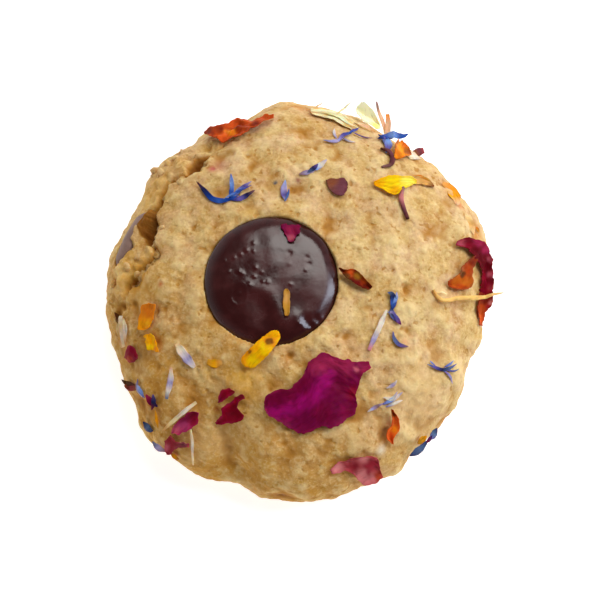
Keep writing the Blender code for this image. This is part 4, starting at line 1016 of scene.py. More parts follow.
def blend(tree, factor, first, second, mode="MIX"):
    """One colour mixed with another. Each is a colour or another node's output."""
    node = add_node(tree, "ShaderNodeMix", data_type="RGBA", blend_type=mode)
    for socket, value in zip((node.inputs[0], node.inputs[6], node.inputs[7]), (factor, first, second)):
        if isinstance(value, bpy.types.NodeSocket):
            tree.links.new(value, socket)
        elif socket.type == "RGBA":
            socket.default_value = (*value[:3], 1.0)
        else:
            socket.default_value = value
    return node.outputs[2]


def combine(tree, operation, first, second):
    """A sum, product or other simple mix of two values."""
    node = add_node(tree, "ShaderNodeMath", operation=operation)
    for socket, value in zip(node.inputs, (first, second)):
        if isinstance(value, bpy.types.NodeSocket):
            tree.links.new(value, socket)
        else:
            socket.default_value = value
    return node.outputs[0]


def bump(tree, shader, height, distance):
    """Roughens a shader's surface by a height in millimetres."""
    node = add_node(tree, "ShaderNodeBump", {"Height": height, "Distance": distance * MM, "Strength": 1.0})
    tree.links.new(node.outputs["Normal"], shader.inputs["Normal"])


def dough_material(dough):
    """Golden crust with pale grains and rosy and browned patches; amber hollows and brown depths that are
    painted shade, painted shade towards the near and left sides, and painted light on raised crumb.
    """
    material, tree, shader = new_material("baked dough", Specular_IOR_Level=0.2, Subsurface_Weight=0.25,
                                          Subsurface_Radius=(1.0, 0.6, 0.25), Subsurface_Scale=1.2 * MM)
    place = object_place(tree)
    amber_and_hollow_shade = stored(tree, "amber_and_hollow_shade")
    colour = blend(tree, between(tree, speckle(tree, place, 4.6, 3.0), 0.4, 0.62), dough.crust, dough.rosy)
    middling = speckle(tree, place, 1.9, 3.0, 0.55)
    fine = speckle(tree, place, 0.55, 2.0, 0.55)
    broad = speckle(tree, place, 7.5, 2.0)
    pores = between(tree, speckle(tree, place, 1.4, 1.0), 0.64, 0.74, 0.0, 0.7)
    coats = (
        # Browning at the foot and in patches, and painted shade towards the near and left sides.
        (stored(tree, "toast_and_shade"), dough.toasted_and_shaded),
        (between(tree, broad, 0.52, 0.72, 0.0, 0.5), dough.golden),
        (between(tree, broad, 0.48, 0.3, 0.0, 0.4), dough.grain_and_painted_light),
        (between(tree, middling, 0.5, 0.7, 0.0, 0.45), dough.grain_and_painted_light),
        (between(tree, middling, 0.48, 0.32, 0.0, 0.45), dough.amber_and_hollow_shade),
        (between(tree, fine, 0.5, 0.7, 0.0, 0.35), dough.grain_and_painted_light),
        (between(tree, fine, 0.48, 0.3, 0.0, 0.3), dough.amber_and_hollow_shade),
        (pores, dough.amber_and_hollow_shade),
        # Painted light on the raised crumb and swells, and painted shade in the pits, creases and crack.
        (between(tree, amber_and_hollow_shade, -0.1, -0.8, 0.0, 0.6), dough.grain_and_painted_light),
        (between(tree, amber_and_hollow_shade, 0.1, 0.9, 0.0, 0.9), dough.amber_and_hollow_shade),
        (between(tree, amber_and_hollow_shade, 0.7, 1.6, 0.0, 0.95), dough.deep),
        (stored(tree, "stain_and_painted_light", "Alpha"), stored(tree, "stain_and_painted_light", "Color")),
    )
    for amount, coat in coats:
        colour = blend(tree, amount, colour, coat)
    tree.links.new(colour, shader.inputs["Base Color"])
    tree.links.new(between(tree, fine, 0.3, 0.7, 0.62, 0.88), shader.inputs["Roughness"])
    rough = combine(tree, "ADD", fine, combine(tree, "MULTIPLY", speckle(tree, place, 0.35, 2.0), 0.3))
    rough = combine(tree, "SUBTRACT", rough, pores)
    bump(tree, shader, rough, 0.11)
    return material


def toast_and_shade(points):
    """How brown the crust is at each point of the smooth form, from 0 to 1: browner at the foot and in
    patches, and towards the near and left sides as painted shade.
    """
    share = TOAST_LEAST - PAINTED_SHADE_NEAR * points[:, 1] - PAINTED_SHADE_LEFT * points[:, 0]
    share += TOAST_PATCHES * ripple(points, TOAST_LENGTH)
    return np.clip(np.maximum(share, TOAST_FOOT - points[:, 2] / BELLY_HEIGHT), 0, 1)


def tiny_pits(points, count):
    """How deep each point lies in the many small pits of the crust."""
    rng = np.random.default_rng(DOUGH_SEED)
    tree = kdtree.KDTree(len(points))
    for index, point in enumerate(points):
        tree.insert(point, index)
    tree.balance()
    uneven = 1 + PIT_UNEVEN * ripple(points, PIT_LENGTH)
    depth = np.zeros(len(points))
    for _ in range(count):
        angle = rng.uniform(-180, 180)
        share = np.sqrt(rng.uniform(0, 1)) * PIT_SPREAD
        radius = rng.uniform(*PIT_SIZES)
        turn = np.radians(angle)
        reach = share * outline(angle)
        centre = top_point(reach * np.cos(turn), reach * np.sin(turn))[0]
        for _, index, gap in tree.find_range(centre, PIT_REACH * radius):
            depth[index] += radius * PIT_DEPTH * near(gap * uneven[index], radius)
    return depth


class COOKIE_OT_dough(bpy.types.Operator):
    """Model the baked dough with its crumb, crack, pits, socket and pocket"""

    bl_idname = "cookie.dough"
    bl_label = "Dough"

    def execute(self, context):
        settings = context.scene.cookie_dough
        bm = ball_mesh(DOUGH_CUTS)
        smooth, normals = smooth_dough(ball_directions(bm))
        broad, torn = broad_relief(smooth)
        crumb = sum(share * ripple(smooth, wavelength) for wavelength, share in CRUMB)
        crumb = NOISE_SHARE * crumb + GRAIN_SHARE * grains(smooth + GRAIN_SHIFT * crumb[:, None], GRAIN_SIZE)
        pits = tiny_pits(smooth, settings.pit_count)
        fade = np.clip(smooth[:, 2] / RELIEF_STARTS, 0, 1)
        fine = (crumb * settings.crumb_height / MM - pits) * fade
        points = smooth + normals * (broad + fine)[:, None]
        strip = outside_crack(smooth, along_route(smooth, CRACK)[0])
        soft = ripple(smooth, SWELLS[-1][0]) + 0.6 * ripple(smooth, SWELLS[-2][0])
        self.press_button(points)
        self.press_chunk(points)
        move(bm.verts, points)
        obj = finish_mesh(bm, "crumbly_dough")
        # Painted shade: on the near side the low parts of the swells are darkened further.
        soft += np.clip(-smooth[:, 1] / RADIUS, 0, 1) * np.minimum(soft, 0)
        # Painted shade and light from the relief: amber to brown shade in the crack, creases and pits, and
        # light on the raised crumb and swells.
        give(obj, "amber_and_hollow_shade", "FLOAT", torn + pits * PIT_PAINTED_SHADE - crumb * CRUMB_PAINTED_LIGHT - soft * SWELL_PAINTED_LIGHT)
        give(obj, "toast_and_shade", "FLOAT", np.clip(toast_and_shade(smooth) + TORN_TOAST * strip, 0, 1))
        give(obj, "stain_and_painted_light", "FLOAT_COLOR", self.stains_and_painted_light(smooth))
        settle(obj, dough_material(settings), "dough", "dough")
        return {"FINISHED"}

    def press_button(self, points):
        """Sinks the dough inside the button's edge down to the socket's floor."""
        out = points[:, :2] - BUTTON_CENTRE
        waver = SOCKET_WAVER * ripple(np.column_stack([out, 0 * out[:, 0]]), WAVER_LENGTH)
        inside = np.clip((SOCKET_REACH + waver - np.linalg.norm(out, axis=1)) / SOCKET_WALL, 0, 1)
        inside *= points[:, 2] > HEIGHT / 2
        points[:, 2] += inside * (BUTTON_FLOOR - SOCKET_CLEAR - points[:, 2])

    def press_chunk(self, points):
        """Sinks the dough under the chunk into a close pocket, and laps it over the chunk's inner side."""
        middle, along, across, out = (np.array(part) for part in chunk_frame())
        local = (points - middle) @ np.stack([along, across, out]).T
        half = np.array(CHUNK_HALF) + CHUNK_CLEAR
        wide = half[1] * (1 - CHUNK_TAPER * local[:, 0] / half[0])
        left = 1 - (local[:, 0] / half[0]) ** 2 - (local[:, 1] / wide) ** 2
        bed = -half[2] * np.sqrt(np.clip(left, 0, 1))
        cover = left + LAP_CORNERS * (local[:, 0] / half[0] * local[:, 1] / wide) ** 2
        top = half[2] * np.sqrt(np.clip(cover, 0, 1)) + LAP_THICK * (1 + ripple(points, LAP_LUMP))
        reach = np.clip(LAP_REACH + LAP_GROWTH * (local[:, 0] / half[0] - LAP_ENDS), LAP_REACH, LAP_PAST)
        lap = local[:, 1] + LAP_RAGGED * ripple(points, LAP_TEETH) > wide * reach
        lap &= left > LAP_OUTSIDE
        sink = np.where(lap, np.minimum(local[:, 2] - top, 0), np.maximum(local[:, 2] - bed, 0))
        sink *= (np.where(lap, cover, left) > 0) & (local[:, 2] > -PROBE)
        points -= sink[:, None] * out

    def stains_and_painted_light(self, points):
        """The colour of the marks and painted light patches at each point, with its strength as the fourth
        number.
        """
        colour = np.zeros((len(points), 4))
        for x, y, reach, stain_and_painted_light, strength in STAINS_AND_PAINTED_LIGHT:
            amount = strength * near(from_place(points, x, y), reach)
            nearer = amount > colour[:, 3]
            colour[nearer] = np.column_stack([np.tile(stain_and_painted_light, (nearer.sum(), 1)), amount[nearer]])
        return colour


def chocolate_material(settings):
    """Dark chocolate, softly glossy, with faint dull patches."""
    material, tree, shader = new_material("dark chocolate", Specular_IOR_Level=0.5)
    place = object_place(tree)
    patches = speckle(tree, place, 4.0, 3.0)
    warm = tuple(1.6 * value for value in settings.dark)
    colour = blend(tree, between(tree, patches, 0.4, 0.65), settings.dark, warm)
    tree.links.new(colour, shader.inputs["Base Color"])
    dullest = settings.gloss + 0.12
    tree.links.new(between(tree, patches, 0.35, 0.7, settings.gloss, dullest), shader.inputs["Roughness"])
    bump(tree, shader, speckle(tree, place, 0.8, 3.0), 0.02)
    return material


def bloom_material(settings):
    """Chocolate with a dull greyish bloom, in soft patches."""
    material, tree, shader = new_material("bloomed chocolate", Roughness=0.6, Specular_IOR_Level=0.35)
    place = object_place(tree)
    darker = tuple(0.75 * value for value in settings.bloom)
    colour = blend(tree, between(tree, speckle(tree, place, 2.4, 3.0), 0.35, 0.65), darker, settings.bloom)
    tree.links.new(colour, shader.inputs["Base Color"])
    bump(tree, shader, speckle(tree, place, 0.5, 3.0), 0.05)
    return material


class COOKIE_OT_button(bpy.types.Operator):
    """Model the dark chocolate button with its rounded rim, wave and bubbles"""

    bl_idname = "cookie.button"
    bl_label = "Chocolate button"

    def execute(self, context):
        bm = bmesh.new()
        verts = [bm.verts.new((radius, 0.0, height)) for radius, height in self.half_section()]
        edges = [bm.edges.new(pair) for pair in zip(verts, verts[1:])]
        bmesh.ops.spin(bm, geom=verts + edges, axis=(0, 0, 1), cent=(0, 0, 0), steps=BUTTON_TURNS,
                       angle=2 * np.pi, use_merge=True)
        bmesh.ops.remove_doubles(bm, verts=bm.verts, dist=1e-4)
        bmesh.ops.recalc_face_normals(bm, faces=bm.faces)
        points = np.array([vert.co for vert in bm.verts])
        points[:, :2] += BUTTON_CENTRE
        self.mark(points)
        move(bm.verts, points)
        obj = finish_mesh(bm, "glossy_button")
        settle(obj, chocolate_material(context.scene.cookie_chocolate), "dark_chocolate", "chocolate_button")
        return {"FINISHED"}

    def half_section(self):
        """The button's half section, from the middle of its base out and up to the middle of its top."""
        rim = np.array((BUTTON_RADIUS - BUTTON_EDGE, BUTTON_RIM))
        drop = np.sqrt((BUTTON_SHOULDER - BUTTON_EDGE) ** 2 - (rim[0] - SHOULDER_STARTS) ** 2)
        shoulder = np.array((SHOULDER_STARTS, BUTTON_RIM - drop))
        join = np.arctan2(drop, rim[0] - SHOULDER_STARTS)
        arcs = (
            (rim, BUTTON_EDGE, np.linspace(RIM_TURN, join, RIM_POINTS)),
            (shoulder, BUTTON_SHOULDER, np.linspace(join, np.pi / 2 - CROWN_SLOPE, SHOULDER_POINTS)[1:]),
        )
        rows = [(0.0, BUTTON_FLOOR), (BUTTON_RADIUS - BUTTON_UNDERCUT, BUTTON_FLOOR)]
        for middle, reach, turns in arcs:
            rows += [(middle[0] + reach * np.cos(turn), middle[1] + reach * np.sin(turn)) for turn in turns]
        reach, height = rows[-1]
        bend = np.tan(CROWN_SLOPE) / (2 * reach)
        inward = np.linspace(reach, 0, BUTTON_RINGS)[1:]
        rows += [(radius, height + (reach**2 - radius**2) * bend) for radius in inward]
        return rows

    def mark(self, points):
        """Adds the rim's unevenness, the wave, the ring, the bubbles and the chipped place."""
        plan = points[:, :2]
        out = plan - BUTTON_CENTRE
        radius = np.linalg.norm(out, axis=1)
        upper = points[:, 2] > BUTTON_RIM
        near_rim = np.clip((radius - RIM_STARTS) / RIM_SPAN, 0, 1)
        uneven = ripple(points, BROAD_LENGTH)
        points[:, :2] += out / np.maximum(radius, 1e-6)[:, None] * (RIM_UNEVEN * near_rim * uneven)[:, None]
        lift = FINE_UNEVEN * ripple(points, FINE_LENGTH) + BROAD_UNEVEN * uneven
        wave = np.min([gap for gap, _ in to_runs(plan, np.array(WAVE))], axis=0)
        lift += WAVE_HEIGHT * near(wave, WAVE_WIDTH)
        ring = np.linalg.norm(plan - RING_CENTRE, axis=1) - RING_RADIUS * (1 + 0.5 * ripple(points, 1.6))
        lift += RING_HEIGHT * near(ring, RING_WIDTH)
        for x, y, reach, height in BUBBLES:
            gap = np.linalg.norm(plan - (x, y), axis=1)
            lift += BUBBLE_RISE * height * near(gap, reach)
        points[:, 2] += lift * upper


class COOKIE_OT_chunk(bpy.types.Operator):
    """Model the bloomed chocolate chunk in the dough's side"""

    bl_idname = "cookie.chunk"
    bl_label = "Chocolate chunk"

    def execute(self, context):
        middle, along, across, out = (np.array(part) for part in chunk_frame())
        bm = ball_mesh(CHUNK_CUTS)
        directions = ball_directions(bm)
        square = directions / np.abs(directions).max(axis=1, keepdims=True)
        shape = directions + CHUNK_SQUARE * (square - directions)
        shape[:, 1] *= 1 - CHUNK_TAPER * shape[:, 0]
        shape *= CHUNK_HALF
        axes = np.stack([along, across, out])
        points = middle + shape @ axes
        points += directions @ axes * (CHUNK_UNEVEN * ripple(points, UNEVEN_LENGTH))[:, None]
        move(bm.verts, points)
        obj = finish_mesh(bm, "bloomed_chunk")
        settle(obj, bloom_material(context.scene.cookie_chocolate), "milk_chocolate", "chocolate_chunk")
        return {"FINISHED"}


class COOKIE_OT_crumbs(bpy.types.Operator):
    """Model the crumbs of dough that lie along the crack"""

    bl_idname = "cookie.crumbs"
    bl_label = "Crumbs"

    def execute(self, context):
        rng = np.random.default_rng(DOUGH_SEED)
        bm = bmesh.new()
        for x, y, size in (*self.scattered(rng), *CRUMB_PLACES):
            middle = landing(x, y, -CRUMB_SINK * size)
            verts = bmesh.ops.create_icosphere(bm, subdivisions=2, radius=size)["verts"]
            shape = np.array([vert.co for vert in verts])
            lumpy = 1.0 + CRUMB_LUMPS * ripple(shape + rng.uniform(0, 99, 3), CRUMB_LUMP_SIZE * size)
            for vert, swell in zip(verts, lumpy):
                vert.co = middle + vert.co * swell
        points = np.array([vert.co for vert in bm.verts])
        obj = finish_mesh(bm, "dough_crumbs")
        # Random mottling, carried in the same attribute as the dough's painted shade and light.
        give(obj, "amber_and_hollow_shade", "FLOAT", -0.1 + 0.9 * ripple(points, 1.6))
        give(obj, "toast_and_shade", "FLOAT", toast_and_shade(points))
        give(obj, "stain_and_painted_light", "FLOAT_COLOR", np.zeros((len(points), 4)))
        settle(obj, bpy.data.materials["baked dough"], "dough", "dough")
        return {"FINISHED"}

    def scattered(self, rng):
        """Places along the crack's outer side, and a radius for each."""
        places, _ = follow(CRACK, rng.uniform(0, 1, CRUMBS))
        rows = []
        for x, y, _ in places:
            size = np.interp(rng.uniform(0, 1) ** 2, (0, 1), CRUMB_SIZES)
            away = rng.exponential(CRUMB_SPREAD) + CRUMB_LEAST
            out = (away + np.hypot(x, y)) / outline(plan_angle(x, y))
            place = np.array((x, y)) * min(out, EDGE_REACH) / out
            if not self.on_chunk(landing(*place, 0)):
                rows.append((*place, size))
        return rows

    def on_chunk(self, point):
        """Whether a place is on the chunk."""
        middle, along, across, _ = chunk_frame()
        away = point - middle
        long, wide = (half + clear for half, clear in zip(CHUNK_HALF, CRUMB_CLEAR))
        return np.hypot(away @ along / long, away @ across / wide) < 1


@lru_cache
def ground():
    """What petals lie on, in millimetres: the dough without its fine crumb, the button and the chunk."""
    bm = ball_mesh(GROUND_CUTS)
    smooth, normals = smooth_dough(ball_directions(bm))
    points = [Vector(point) for point in smooth + normals * broad_relief(smooth)[0][:, None]]
    for index, vert in enumerate(bm.verts):
        vert.index = index
    faces = [[vert.index for vert in face.verts] for face in bm.faces]
    bm.free()
    for name in ("glossy_button", "bloomed_chunk"):
        mesh = bpy.data.objects[name].data
        faces += [[len(points) + index for index in face.vertices] for face in mesh.polygons]
        points += [vert.co / MM for vert in mesh.vertices]
    return BVHTree.FromPolygons(points, faces)


def landing(x, y, rise):
    """The place this far above the ground over a plan place. Past the dough's edge it runs on outward."""
    point, normal = top_point(x, y)
    hit = ground().ray_cast(point + normal * PROBE, -normal)[0]
    beyond = Vector((x - point.x, y - point.y, 0.0))
    return (hit or point) + normal * rise + beyond


def follow(route, shares):
    """Plan places and lifts along a smooth curve through a route's points, at shares of its length."""
    knots = np.array([place[:2] for place in route], dtype=float)
    lifts = [place[2] - landing(place[0], place[1], 0).z if len(place) == 3 else 0.0 for place in route]
    length = np.concatenate([[0], np.cumsum(np.linalg.norm(np.diff(knots, axis=0), axis=1))])
    slopes = np.gradient(knots, length, axis=0)
    at = np.asarray(shares) * length[-1]
    index = np.clip(np.searchsorted(length, at, side="right") - 1, 0, len(length) - 2)
    run = (length[index + 1] - length[index])[:, None]
    t = (at - length[index])[:, None] / run
    plan = (2 * t**3 - 3 * t**2 + 1) * knots[index] + (t**3 - 2 * t**2 + t) * run * slopes[index]
    plan += (3 * t**2 - 2 * t**3) * knots[index + 1] + (t**3 - t**2) * run * slopes[index + 1]
    return np.column_stack([plan, np.interp(at, length, lifts)]), length[-1]


def petal_layers(bm):
    """The layers that hold each point's colour, and its place along and across the petal in metres."""
    return bm.verts.layers.float_color.new("tint"), bm.verts.layers.float_vector.new("lay")


def petal_rise(petal, flat, along, across):
    """How far each point of a petal lies above the ground, and how deep between two ribs it is."""
    folds = 0.7 * ripple(flat / (FOLD_LENGTH, FOLD_WIDTH, 1), 1.0)
    creases = np.abs(ripple(flat / (CREASE_LENGTH, CREASE_WIDTH, 1) + 40, 1.0))
    folds += 0.5 - 1.4 * creases + 0.4 * ripple(flat, 0.9)
    trough = 0.5 - 0.5 * np.cos(2 * np.pi * petal.ribs * (across + 0.06 * ripple(flat, 2.0)))
    rise = PETAL_LIFT + np.interp(along, (0, 0.5, 1), petal.rises) + petal.crumple * folds
    rise -= RIB_DEPTH * trough
    bow = (2 * across - 1) ** 2
    rise += abs(petal.curl) * (bow if petal.curl > 0 else 1 - bow) * (0.8 + 0.5 * ripple(flat, 2.6))
    return np.maximum(rise, LEAST_LIFT), trough


def petal_colours(petal, places, flat, rim, trough):
    """A petal's colours: its tint mixed with the spots near each point, its rim, and painted shade between
    ribs.
    """
    colours = np.tile(SHADES[petal.tint], (len(places), 1))
    total = np.ones(len(places))
    stray = np.column_stack([ripple(flat, 0.9), ripple(flat + 17, 0.9)])
    uneven = 1 + SPOT_UNEVEN * ripple(flat, 1.2)
    for name, spots in petal.spots.items():
        power, strength = CRISP_SPOT if name == "umber" else SOFT_SPOT
        for x, y, reach in spots:
            gap = np.linalg.norm(places[:, :2] + SPOT_STRAY * reach * stray - (x, y), axis=1) * uneven
            weight = strength * near(gap, reach, power)
            colours += weight[:, None] * np.array(SHADES[name])
            total += weight
    colours /= total[:, None]
    edging = (RIM_TINT * rim * (0.6 + 0.7 * ripple(flat, 1.8)))[:, None].clip(0, 1)
    colours += edging * (np.array(SHADES[petal.rim]) - colours)
    # Painted shade in the troughs between ribs.
    return colours * (1 - RIB_PAINTED_SHADE * trough)[:, None]


def lay_petal(bm, layers, petal, seed):
    """Adds a petal's sheet to a bmesh: lofted between its edges, crumpled, ragged at the rim and coloured."""
    tint, lay = layers
    verts = bmesh.ops.create_grid(bm, x_segments=petal.cuts[0], y_segments=petal.cuts[1], size=1.0)["verts"]
    along, across = (np.array([vert.co[:2] for vert in verts]).T + 1) / 2
    (first, length), (second, _) = (follow(edge, along) for edge in (petal.first, petal.second))
    narrow = np.sqrt(np.clip(1 - np.abs(2 * along - 1) ** petal.blunt, 0.01, 1)) if petal.blunt else 1.0
    places = first + (0.5 + narrow * (across - 0.5))[:, None] * (second - first)
    width = np.linalg.norm((second - first)[:, :2], axis=1) * narrow
    flat = np.column_stack([along * length, across * width, np.full(len(verts), PETAL_APART * seed)])
    to_edge = np.minimum(np.minimum(along, 1 - along) * length, np.minimum(across, 1 - across) * width)
    rim = np.clip(1 - to_edge / RIM_WIDTH, 0, 1)
    rises, trough = petal_rise(petal, flat, along, across)
    for axis in (0, 1):
        jitter = ripple(flat + 31 * axis, 1.3) + 0.8 * ripple(flat + 31 * axis, 0.55)
        places[:, axis] += petal.ragged * rim * jitter
    colours = petal_colours(petal, places, flat, rim, trough)
    for vert, (x, y, lift), rise, colour, place in zip(verts, places, rises, colours, flat):
        vert.co = landing(x, y, rise) + Vector((0, 0, lift))
        vert[tint] = (*colour, 1.0)
        vert[lay] = place * MM


def thicken(bm):
    """Gives the sheets in a bmesh their thickness, with faces outward."""
    bmesh.ops.recalc_face_normals(bm, faces=bm.faces)
    copies = bmesh.ops.extrude_face_region(bm, geom=bm.faces[:], use_keep_orig=True)["geom"]
    bm.normal_update()
    for item in copies:
        if isinstance(item, bmesh.types.BMVert):
            item.co += item.normal * PETAL_THICK
    bmesh.ops.recalc_face_normals(bm, faces=bm.faces)


def lay_strand(bm, layers, strand, seed, steps=26, around=10):
    """Adds a strand to a bmesh: a closed tube that is flattened, hollowed, tapered and coloured."""
    tint, lay = layers
    grid = bmesh.ops.create_grid(bm, x_segments=steps, y_segments=around, size=1.0)["verts"]
    shares = np.linspace(0, 1, steps + 1)
    places, length = follow(strand.route, shares)
    start, end = strand.ends
    taper = start + (1 - start) * np.clip(shares / TAPER_START, 0, 1) ** 0.7
    taper = np.minimum(taper, end + (1 - end) * np.clip((1 - shares) / TAPER_END, 0, 1) ** 0.7)
    flat = np.column_stack([shares * length, 0 * shares, np.full(steps + 1, STRAND_APART * seed)])
    taper *= 1 + WIDTH_VARIES * ripple(flat, 1.4)
    rise = STRAND_LIFT + np.interp(shares, (0, 0.5, 1), strand.rises) + LIE_VARIES * ripple(flat, 1.1)
    middles = [landing(x, y, height) + Vector((0, 0, lift)) for (x, y, lift), height in zip(places, rise)]
    colours = np.array([SHADES[name] for name in strand.shades.split()])
    knots = np.linspace(0, 1, len(colours))
    colours = np.stack([np.interp(shares, knots, colours[:, band]) for band in range(3)], -1)
    for vert in grid:
        index = round((vert.co.x + 1) / 2 * steps)
        angle = (vert.co.y + 1) * np.pi
        ahead = middles[min(index + 1, steps)] - middles[max(index - 1, 0)]
        facing = top_point(*places[index][:2])[1] + Vector((0, 0, 0.6 + places[index][2]))
        side = ahead.cross(facing).normalized()
        up = side.cross(ahead).normalized()
        across = np.cos(angle)
        half = strand.half_width * taper[index]
        lean = strand.trough * half * (across**2 - 0.5)
        lean += strand.thick * min(1, 2 * taper[index]) * np.sin(angle)
        vert.co = middles[index] + side * (half * across) + up * lean
        dim = 1 - STRAND_SHADE * abs(across) * (noise.noise(vert.co) > 0)
        vert[tint] = (*(colours[index] * dim), 1.0)
        vert[lay] = (flat[index][0] * MM, half * across * MM, seed * 5 * MM)
    bmesh.ops.remove_doubles(bm, verts=grid, dist=0.004)


def petal_material(name, settings):
    """A dried petal: its own tints, darkened along fine veins."""
    material, tree, shader = new_material(name, Roughness=settings.satin, Specular_IOR_Level=0.06,
                                          Subsurface_Weight=0.3, Subsurface_Scale=0.3 * MM)
    tint = stored(tree, "tint", "Color")
    lay = stored(tree, "lay", "Vector")
    drawn = add_node(tree, "ShaderNodeMapping", {"Vector": lay, "Scale": (VEIN_STRETCH, 1.0, 1.0)})
    veins = speckle(tree, drawn.outputs["Vector"], 0.5, 3.0, 0.6)
    patches = speckle(tree, lay, 1.6, 3.0)
    dark = blend(tree, 1.0, tint, (0.5, 0.42, 0.42), "MULTIPLY")
    light = blend(tree, 0.35, tint, (1.0, 0.95, 0.9), "SOFT_LIGHT")
    colour = blend(tree, between(tree, veins, 0.5, 0.3, 0.0, settings.veins), tint, dark)
    colour = blend(tree, between(tree, patches, 0.5, 0.72), colour, light)
    tree.links.new(colour, shader.inputs["Base Color"])
    bump(tree, shader, veins, 0.07)
    return material


class PetalMaker:
    """What the operators for petals share: each petal takes the place of the node of its name."""

    petals = {}
    slot = ""
    seed = 1

    def execute(self, context):
        material = petal_material(self.bl_label.lower(), context.scene.cookie_petals)
        for number, (node, petal) in enumerate(self.petals.items()):
            bm = bmesh.new()
            lay_petal(bm, petal_layers(bm), petal, self.seed + number)
            thicken(bm)
            settle(finish_mesh(bm, f"dried_{node}"), material, self.slot, node)
        return {"FINISHED"}


class COOKIE_OT_rose_petals(PetalMaker, bpy.types.Operator):
    """Model the magenta rose petals"""

    bl_idname = "cookie.rose_petals"
    bl_label = "Rose petals"
    petals, slot, seed = ROSE_PETALS, "rose_petal", 1


class COOKIE_OT_mauve_petals(PetalMaker, bpy.types.Operator):
    """Model the mauve rose petal at the near edge"""

    bl_idname = "cookie.mauve_petals"
    bl_label = "Mauve petals"
    petals, slot, seed = MAUVE_PETALS, "mauve_petal", 11


class COOKIE_OT_crimson_petals(PetalMaker, bpy.types.Operator):
    """Model the crimson and burgundy rose petals"""

    bl_idname = "cookie.crimson_petals"
    bl_label = "Crimson petals"
    petals, slot, seed = CRIMSON_PETALS, "crimson_petal", 21


class COOKIE_OT_orange_petals(PetalMaker, bpy.types.Operator):
    """Model the orange petals"""

    bl_idname = "cookie.orange_petals"
    bl_label = "Orange petals"
    petals, slot, seed = ORANGE_PETALS, "orange_petal", 31


class COOKIE_OT_rust_petals(PetalMaker, bpy.types.Operator):
    """Model the rust and brown petals"""

    bl_idname = "cookie.rust_petals"
    bl_label = "Rust petals"
    petals, slot, seed = RUST_PETALS, "rust_petal", 41


class COOKIE_OT_yellow_petals(PetalMaker, bpy.types.Operator):
    """Model the yellow marigold petals"""

    bl_idname = "cookie.yellow_petals"
    bl_label = "Yellow petals"
    petals, slot, seed = YELLOW_PETALS, "yellow_petal", 51


class COOKIE_OT_straw_petals(PetalMaker, bpy.types.Operator):
    """Model the pale and straw-coloured petals"""

    bl_idname = "cookie.straw_petals"
    bl_label = "Straw petals"
    petals, slot, seed = STRAW_PETALS, "straw_petal", 61


class StrandMaker:
    """What the operators for strands share: one mesh holds all the strands of a kind."""

    strands = ()
    slot = ""
    piece = ""
    node = "dough"

    def execute(self, context):
        bm = bmesh.new()
        layers = petal_layers(bm)
        for number, strand in enumerate(self.strands):
            lay_strand(bm, layers, strand, number + 1)
        bmesh.ops.recalc_face_normals(bm, faces=bm.faces)
        material = petal_material(self.bl_label.lower(), context.scene.cookie_petals)
        settle(finish_mesh(bm, self.piece), material, self.slot, self.node)
        return {"FINISHED"}


class COOKIE_OT_florets(StrandMaker, bpy.types.Operator):
    """Model the scraps of cornflower floret"""

    bl_idname = "cookie.florets"
    bl_label = "Cornflower florets"
    strands, slot, piece = FLORETS, "cornflower", "cornflower_scraps"


class COOKIE_OT_straws(StrandMaker, bpy.types.Operator):
    """Model the pale bracts and straws"""

    bl_idname = "cookie.straws"
    bl_label = "Straws and bracts"
    strands, slot, piece = STRAWS, "straw_petal", "pale_straws"


class COOKIE_OT_stems(StrandMaker, bpy.types.Operator):
    """Model the stems and small bits of petal"""

    bl_idname = "cookie.stems"
    bl_label = "Stems and bits"
    strands, slot, piece = STEMS, "rust_petal", "stems_and_bits"


class COOKIE_OT_thread(StrandMaker, bpy.types.Operator):
    """Model the dried thread over the right-hand petals"""

    bl_idname = "cookie.thread"
    bl_label = "Dried thread"
    strands, slot, piece, node = (THREAD,), "straw_petal", "dried_thread", "pale_thread"


def aimed_light(name, power, towards, distance, size, colour):
    """A rectangular soft light that faces the cookie from a direction."""
    light = bpy.data.lights.new(name, "AREA")
    light.shape = "RECTANGLE"
    light.size, light.size_y = size[0] * MM, size[1] * MM
    light.energy = power
    light.color = colour
    obj = bpy.data.objects.new(name, light)
    bpy.context.scene.collection.objects.link(obj)
    away = Vector(towards).normalized()
    obj.location = away * distance * MM
    obj.rotation_euler = away.to_track_quat("Z", "Y").to_euler()


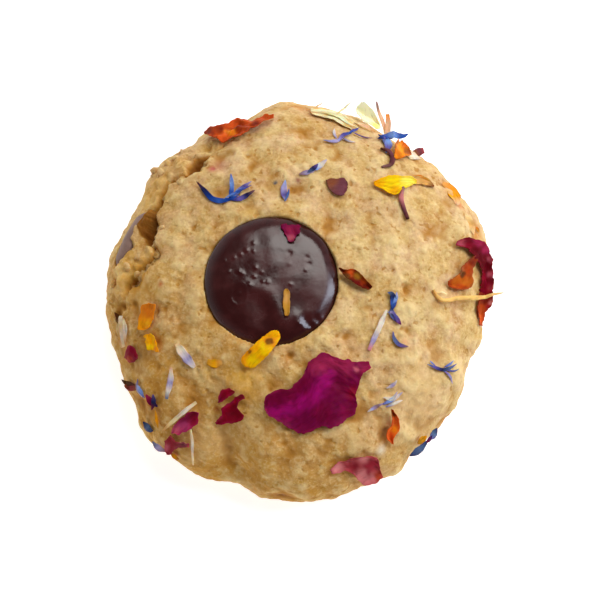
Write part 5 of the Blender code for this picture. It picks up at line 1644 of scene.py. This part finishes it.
class COOKIE_OT_stage(bpy.types.Operator):
    """Set up the pale floor, the soft lights and the camera"""

    bl_idname = "cookie.stage"
    bl_label = "Stage"

    def execute(self, context):
        scene = context.scene
        settings = scene.cookie_stage
        self.floor(settings)
        aimed_light("far light", settings.key_power, *FAR_LIGHT)
        aimed_light("side light", settings.window_power, *SIDE_LIGHT)
        self.sky(scene, settings.sky)
        scene.view_settings.view_transform = "Standard"
        self.camera(scene)
        return {"FINISHED"}

    def sky(self, scene, strength):
        """Light from all round, dim overhead and bright towards the horizon, most of all on the left."""
        world = bpy.data.worlds.new("soft light all round")
        world.use_nodes = True
        tree = world.node_tree
        back = tree.nodes["Background"]
        towards = add_node(tree, "ShaderNodeTexCoord").outputs["Generated"]
        inputs = {0: towards, 1: SKY_BRIGHT}
        facing = add_node(tree, "ShaderNodeVectorMath", inputs, operation="DOT_PRODUCT")
        level = between(tree, facing.outputs["Value"], *SKY_RISE, SKY_LEAST * strength, strength)
        tree.links.new(level, back.inputs["Strength"])
        back.inputs["Color"].default_value = (0.97, 0.985, 1.0, 1.0)
        scene.world = world

    def floor(self, settings):
        """A level pale floor under the cookie."""
        bm = bmesh.new()
        bmesh.ops.create_grid(bm, x_segments=4, y_segments=4, size=FLOOR_SIZE / 2)
        obj = finish_mesh(bm, "floor")
        material, tree, shader = new_material("pale floor", Roughness=0.9, Specular_IOR_Level=0.1,
                                              Emission_Color=(1.0, 1.0, 1.0, 1.0), Emission_Strength=0.8)
        dimmer = tuple(0.985 * value for value in settings.floor)
        colour = blend(tree, speckle(tree, object_place(tree), 60.0), settings.floor, dimmer)
        tree.links.new(colour, shader.inputs["Base Color"])
        obj.data.materials.append(material)

    def camera(self, scene):
        """A camera that looks down on the cookie from the near side."""
        camera = bpy.data.cameras.new("camera")
        camera.lens = CAMERA_LENS
        camera.sensor_width = CAMERA_SENSOR
        obj = bpy.data.objects.new("camera", camera)
        scene.collection.objects.link(obj)
        rise = np.radians(CAMERA_ELEVATION)
        back = Vector((0.0, -np.cos(rise), np.sin(rise)))
        obj.location = (Vector(CAMERA_TARGET) + back * CAMERA_DISTANCE) * MM
        obj.rotation_euler = back.to_track_quat("Z", "Y").to_euler()
        scene.camera = obj


OPERATORS = (
    COOKIE_OT_dough,
    COOKIE_OT_button,
    COOKIE_OT_chunk,
    COOKIE_OT_crumbs,
    COOKIE_OT_rose_petals,
    COOKIE_OT_mauve_petals,
    COOKIE_OT_crimson_petals,
    COOKIE_OT_orange_petals,
    COOKIE_OT_rust_petals,
    COOKIE_OT_yellow_petals,
    COOKIE_OT_straw_petals,
    COOKIE_OT_florets,
    COOKIE_OT_straws,
    COOKIE_OT_stems,
    COOKIE_OT_thread,
    COOKIE_OT_stage,
)
SETTINGS = {
    "cookie_dough": DoughSettings,
    "cookie_chocolate": ChocolateSettings,
    "cookie_petals": PetalSettings,
    "cookie_stage": StageSettings,
}


class COOKIE_PT_panel(bpy.types.Panel):
    """The cookie's pieces, in the order in which they are made"""

    bl_label = "Flower cookie"
    bl_space_type = "VIEW_3D"
    bl_region_type = "UI"
    bl_category = "Cookie"

    def draw(self, context):
        for operator in OPERATORS:
            self.layout.operator(operator.bl_idname)
        for name, group in SETTINGS.items():
            box = self.layout.box()
            for value in group.__annotations__:
                box.prop(getattr(context.scene, name), value)


def register():
    for made in (*SETTINGS.values(), *OPERATORS, COOKIE_PT_panel):
        bpy.utils.register_class(made)
    for name, group in SETTINGS.items():
        setattr(bpy.types.Scene, name, PointerProperty(type=group))


def unregister():
    for name in SETTINGS:
        delattr(bpy.types.Scene, name)
    for made in (COOKIE_PT_panel, *OPERATORS, *SETTINGS.values()):
        bpy.utils.unregister_class(made)


def main():
    register()
    for operator in OPERATORS:
        group, name = operator.bl_idname.split(".")
        getattr(getattr(bpy.ops, group), name)()


if __name__ == "__main__":
    main()
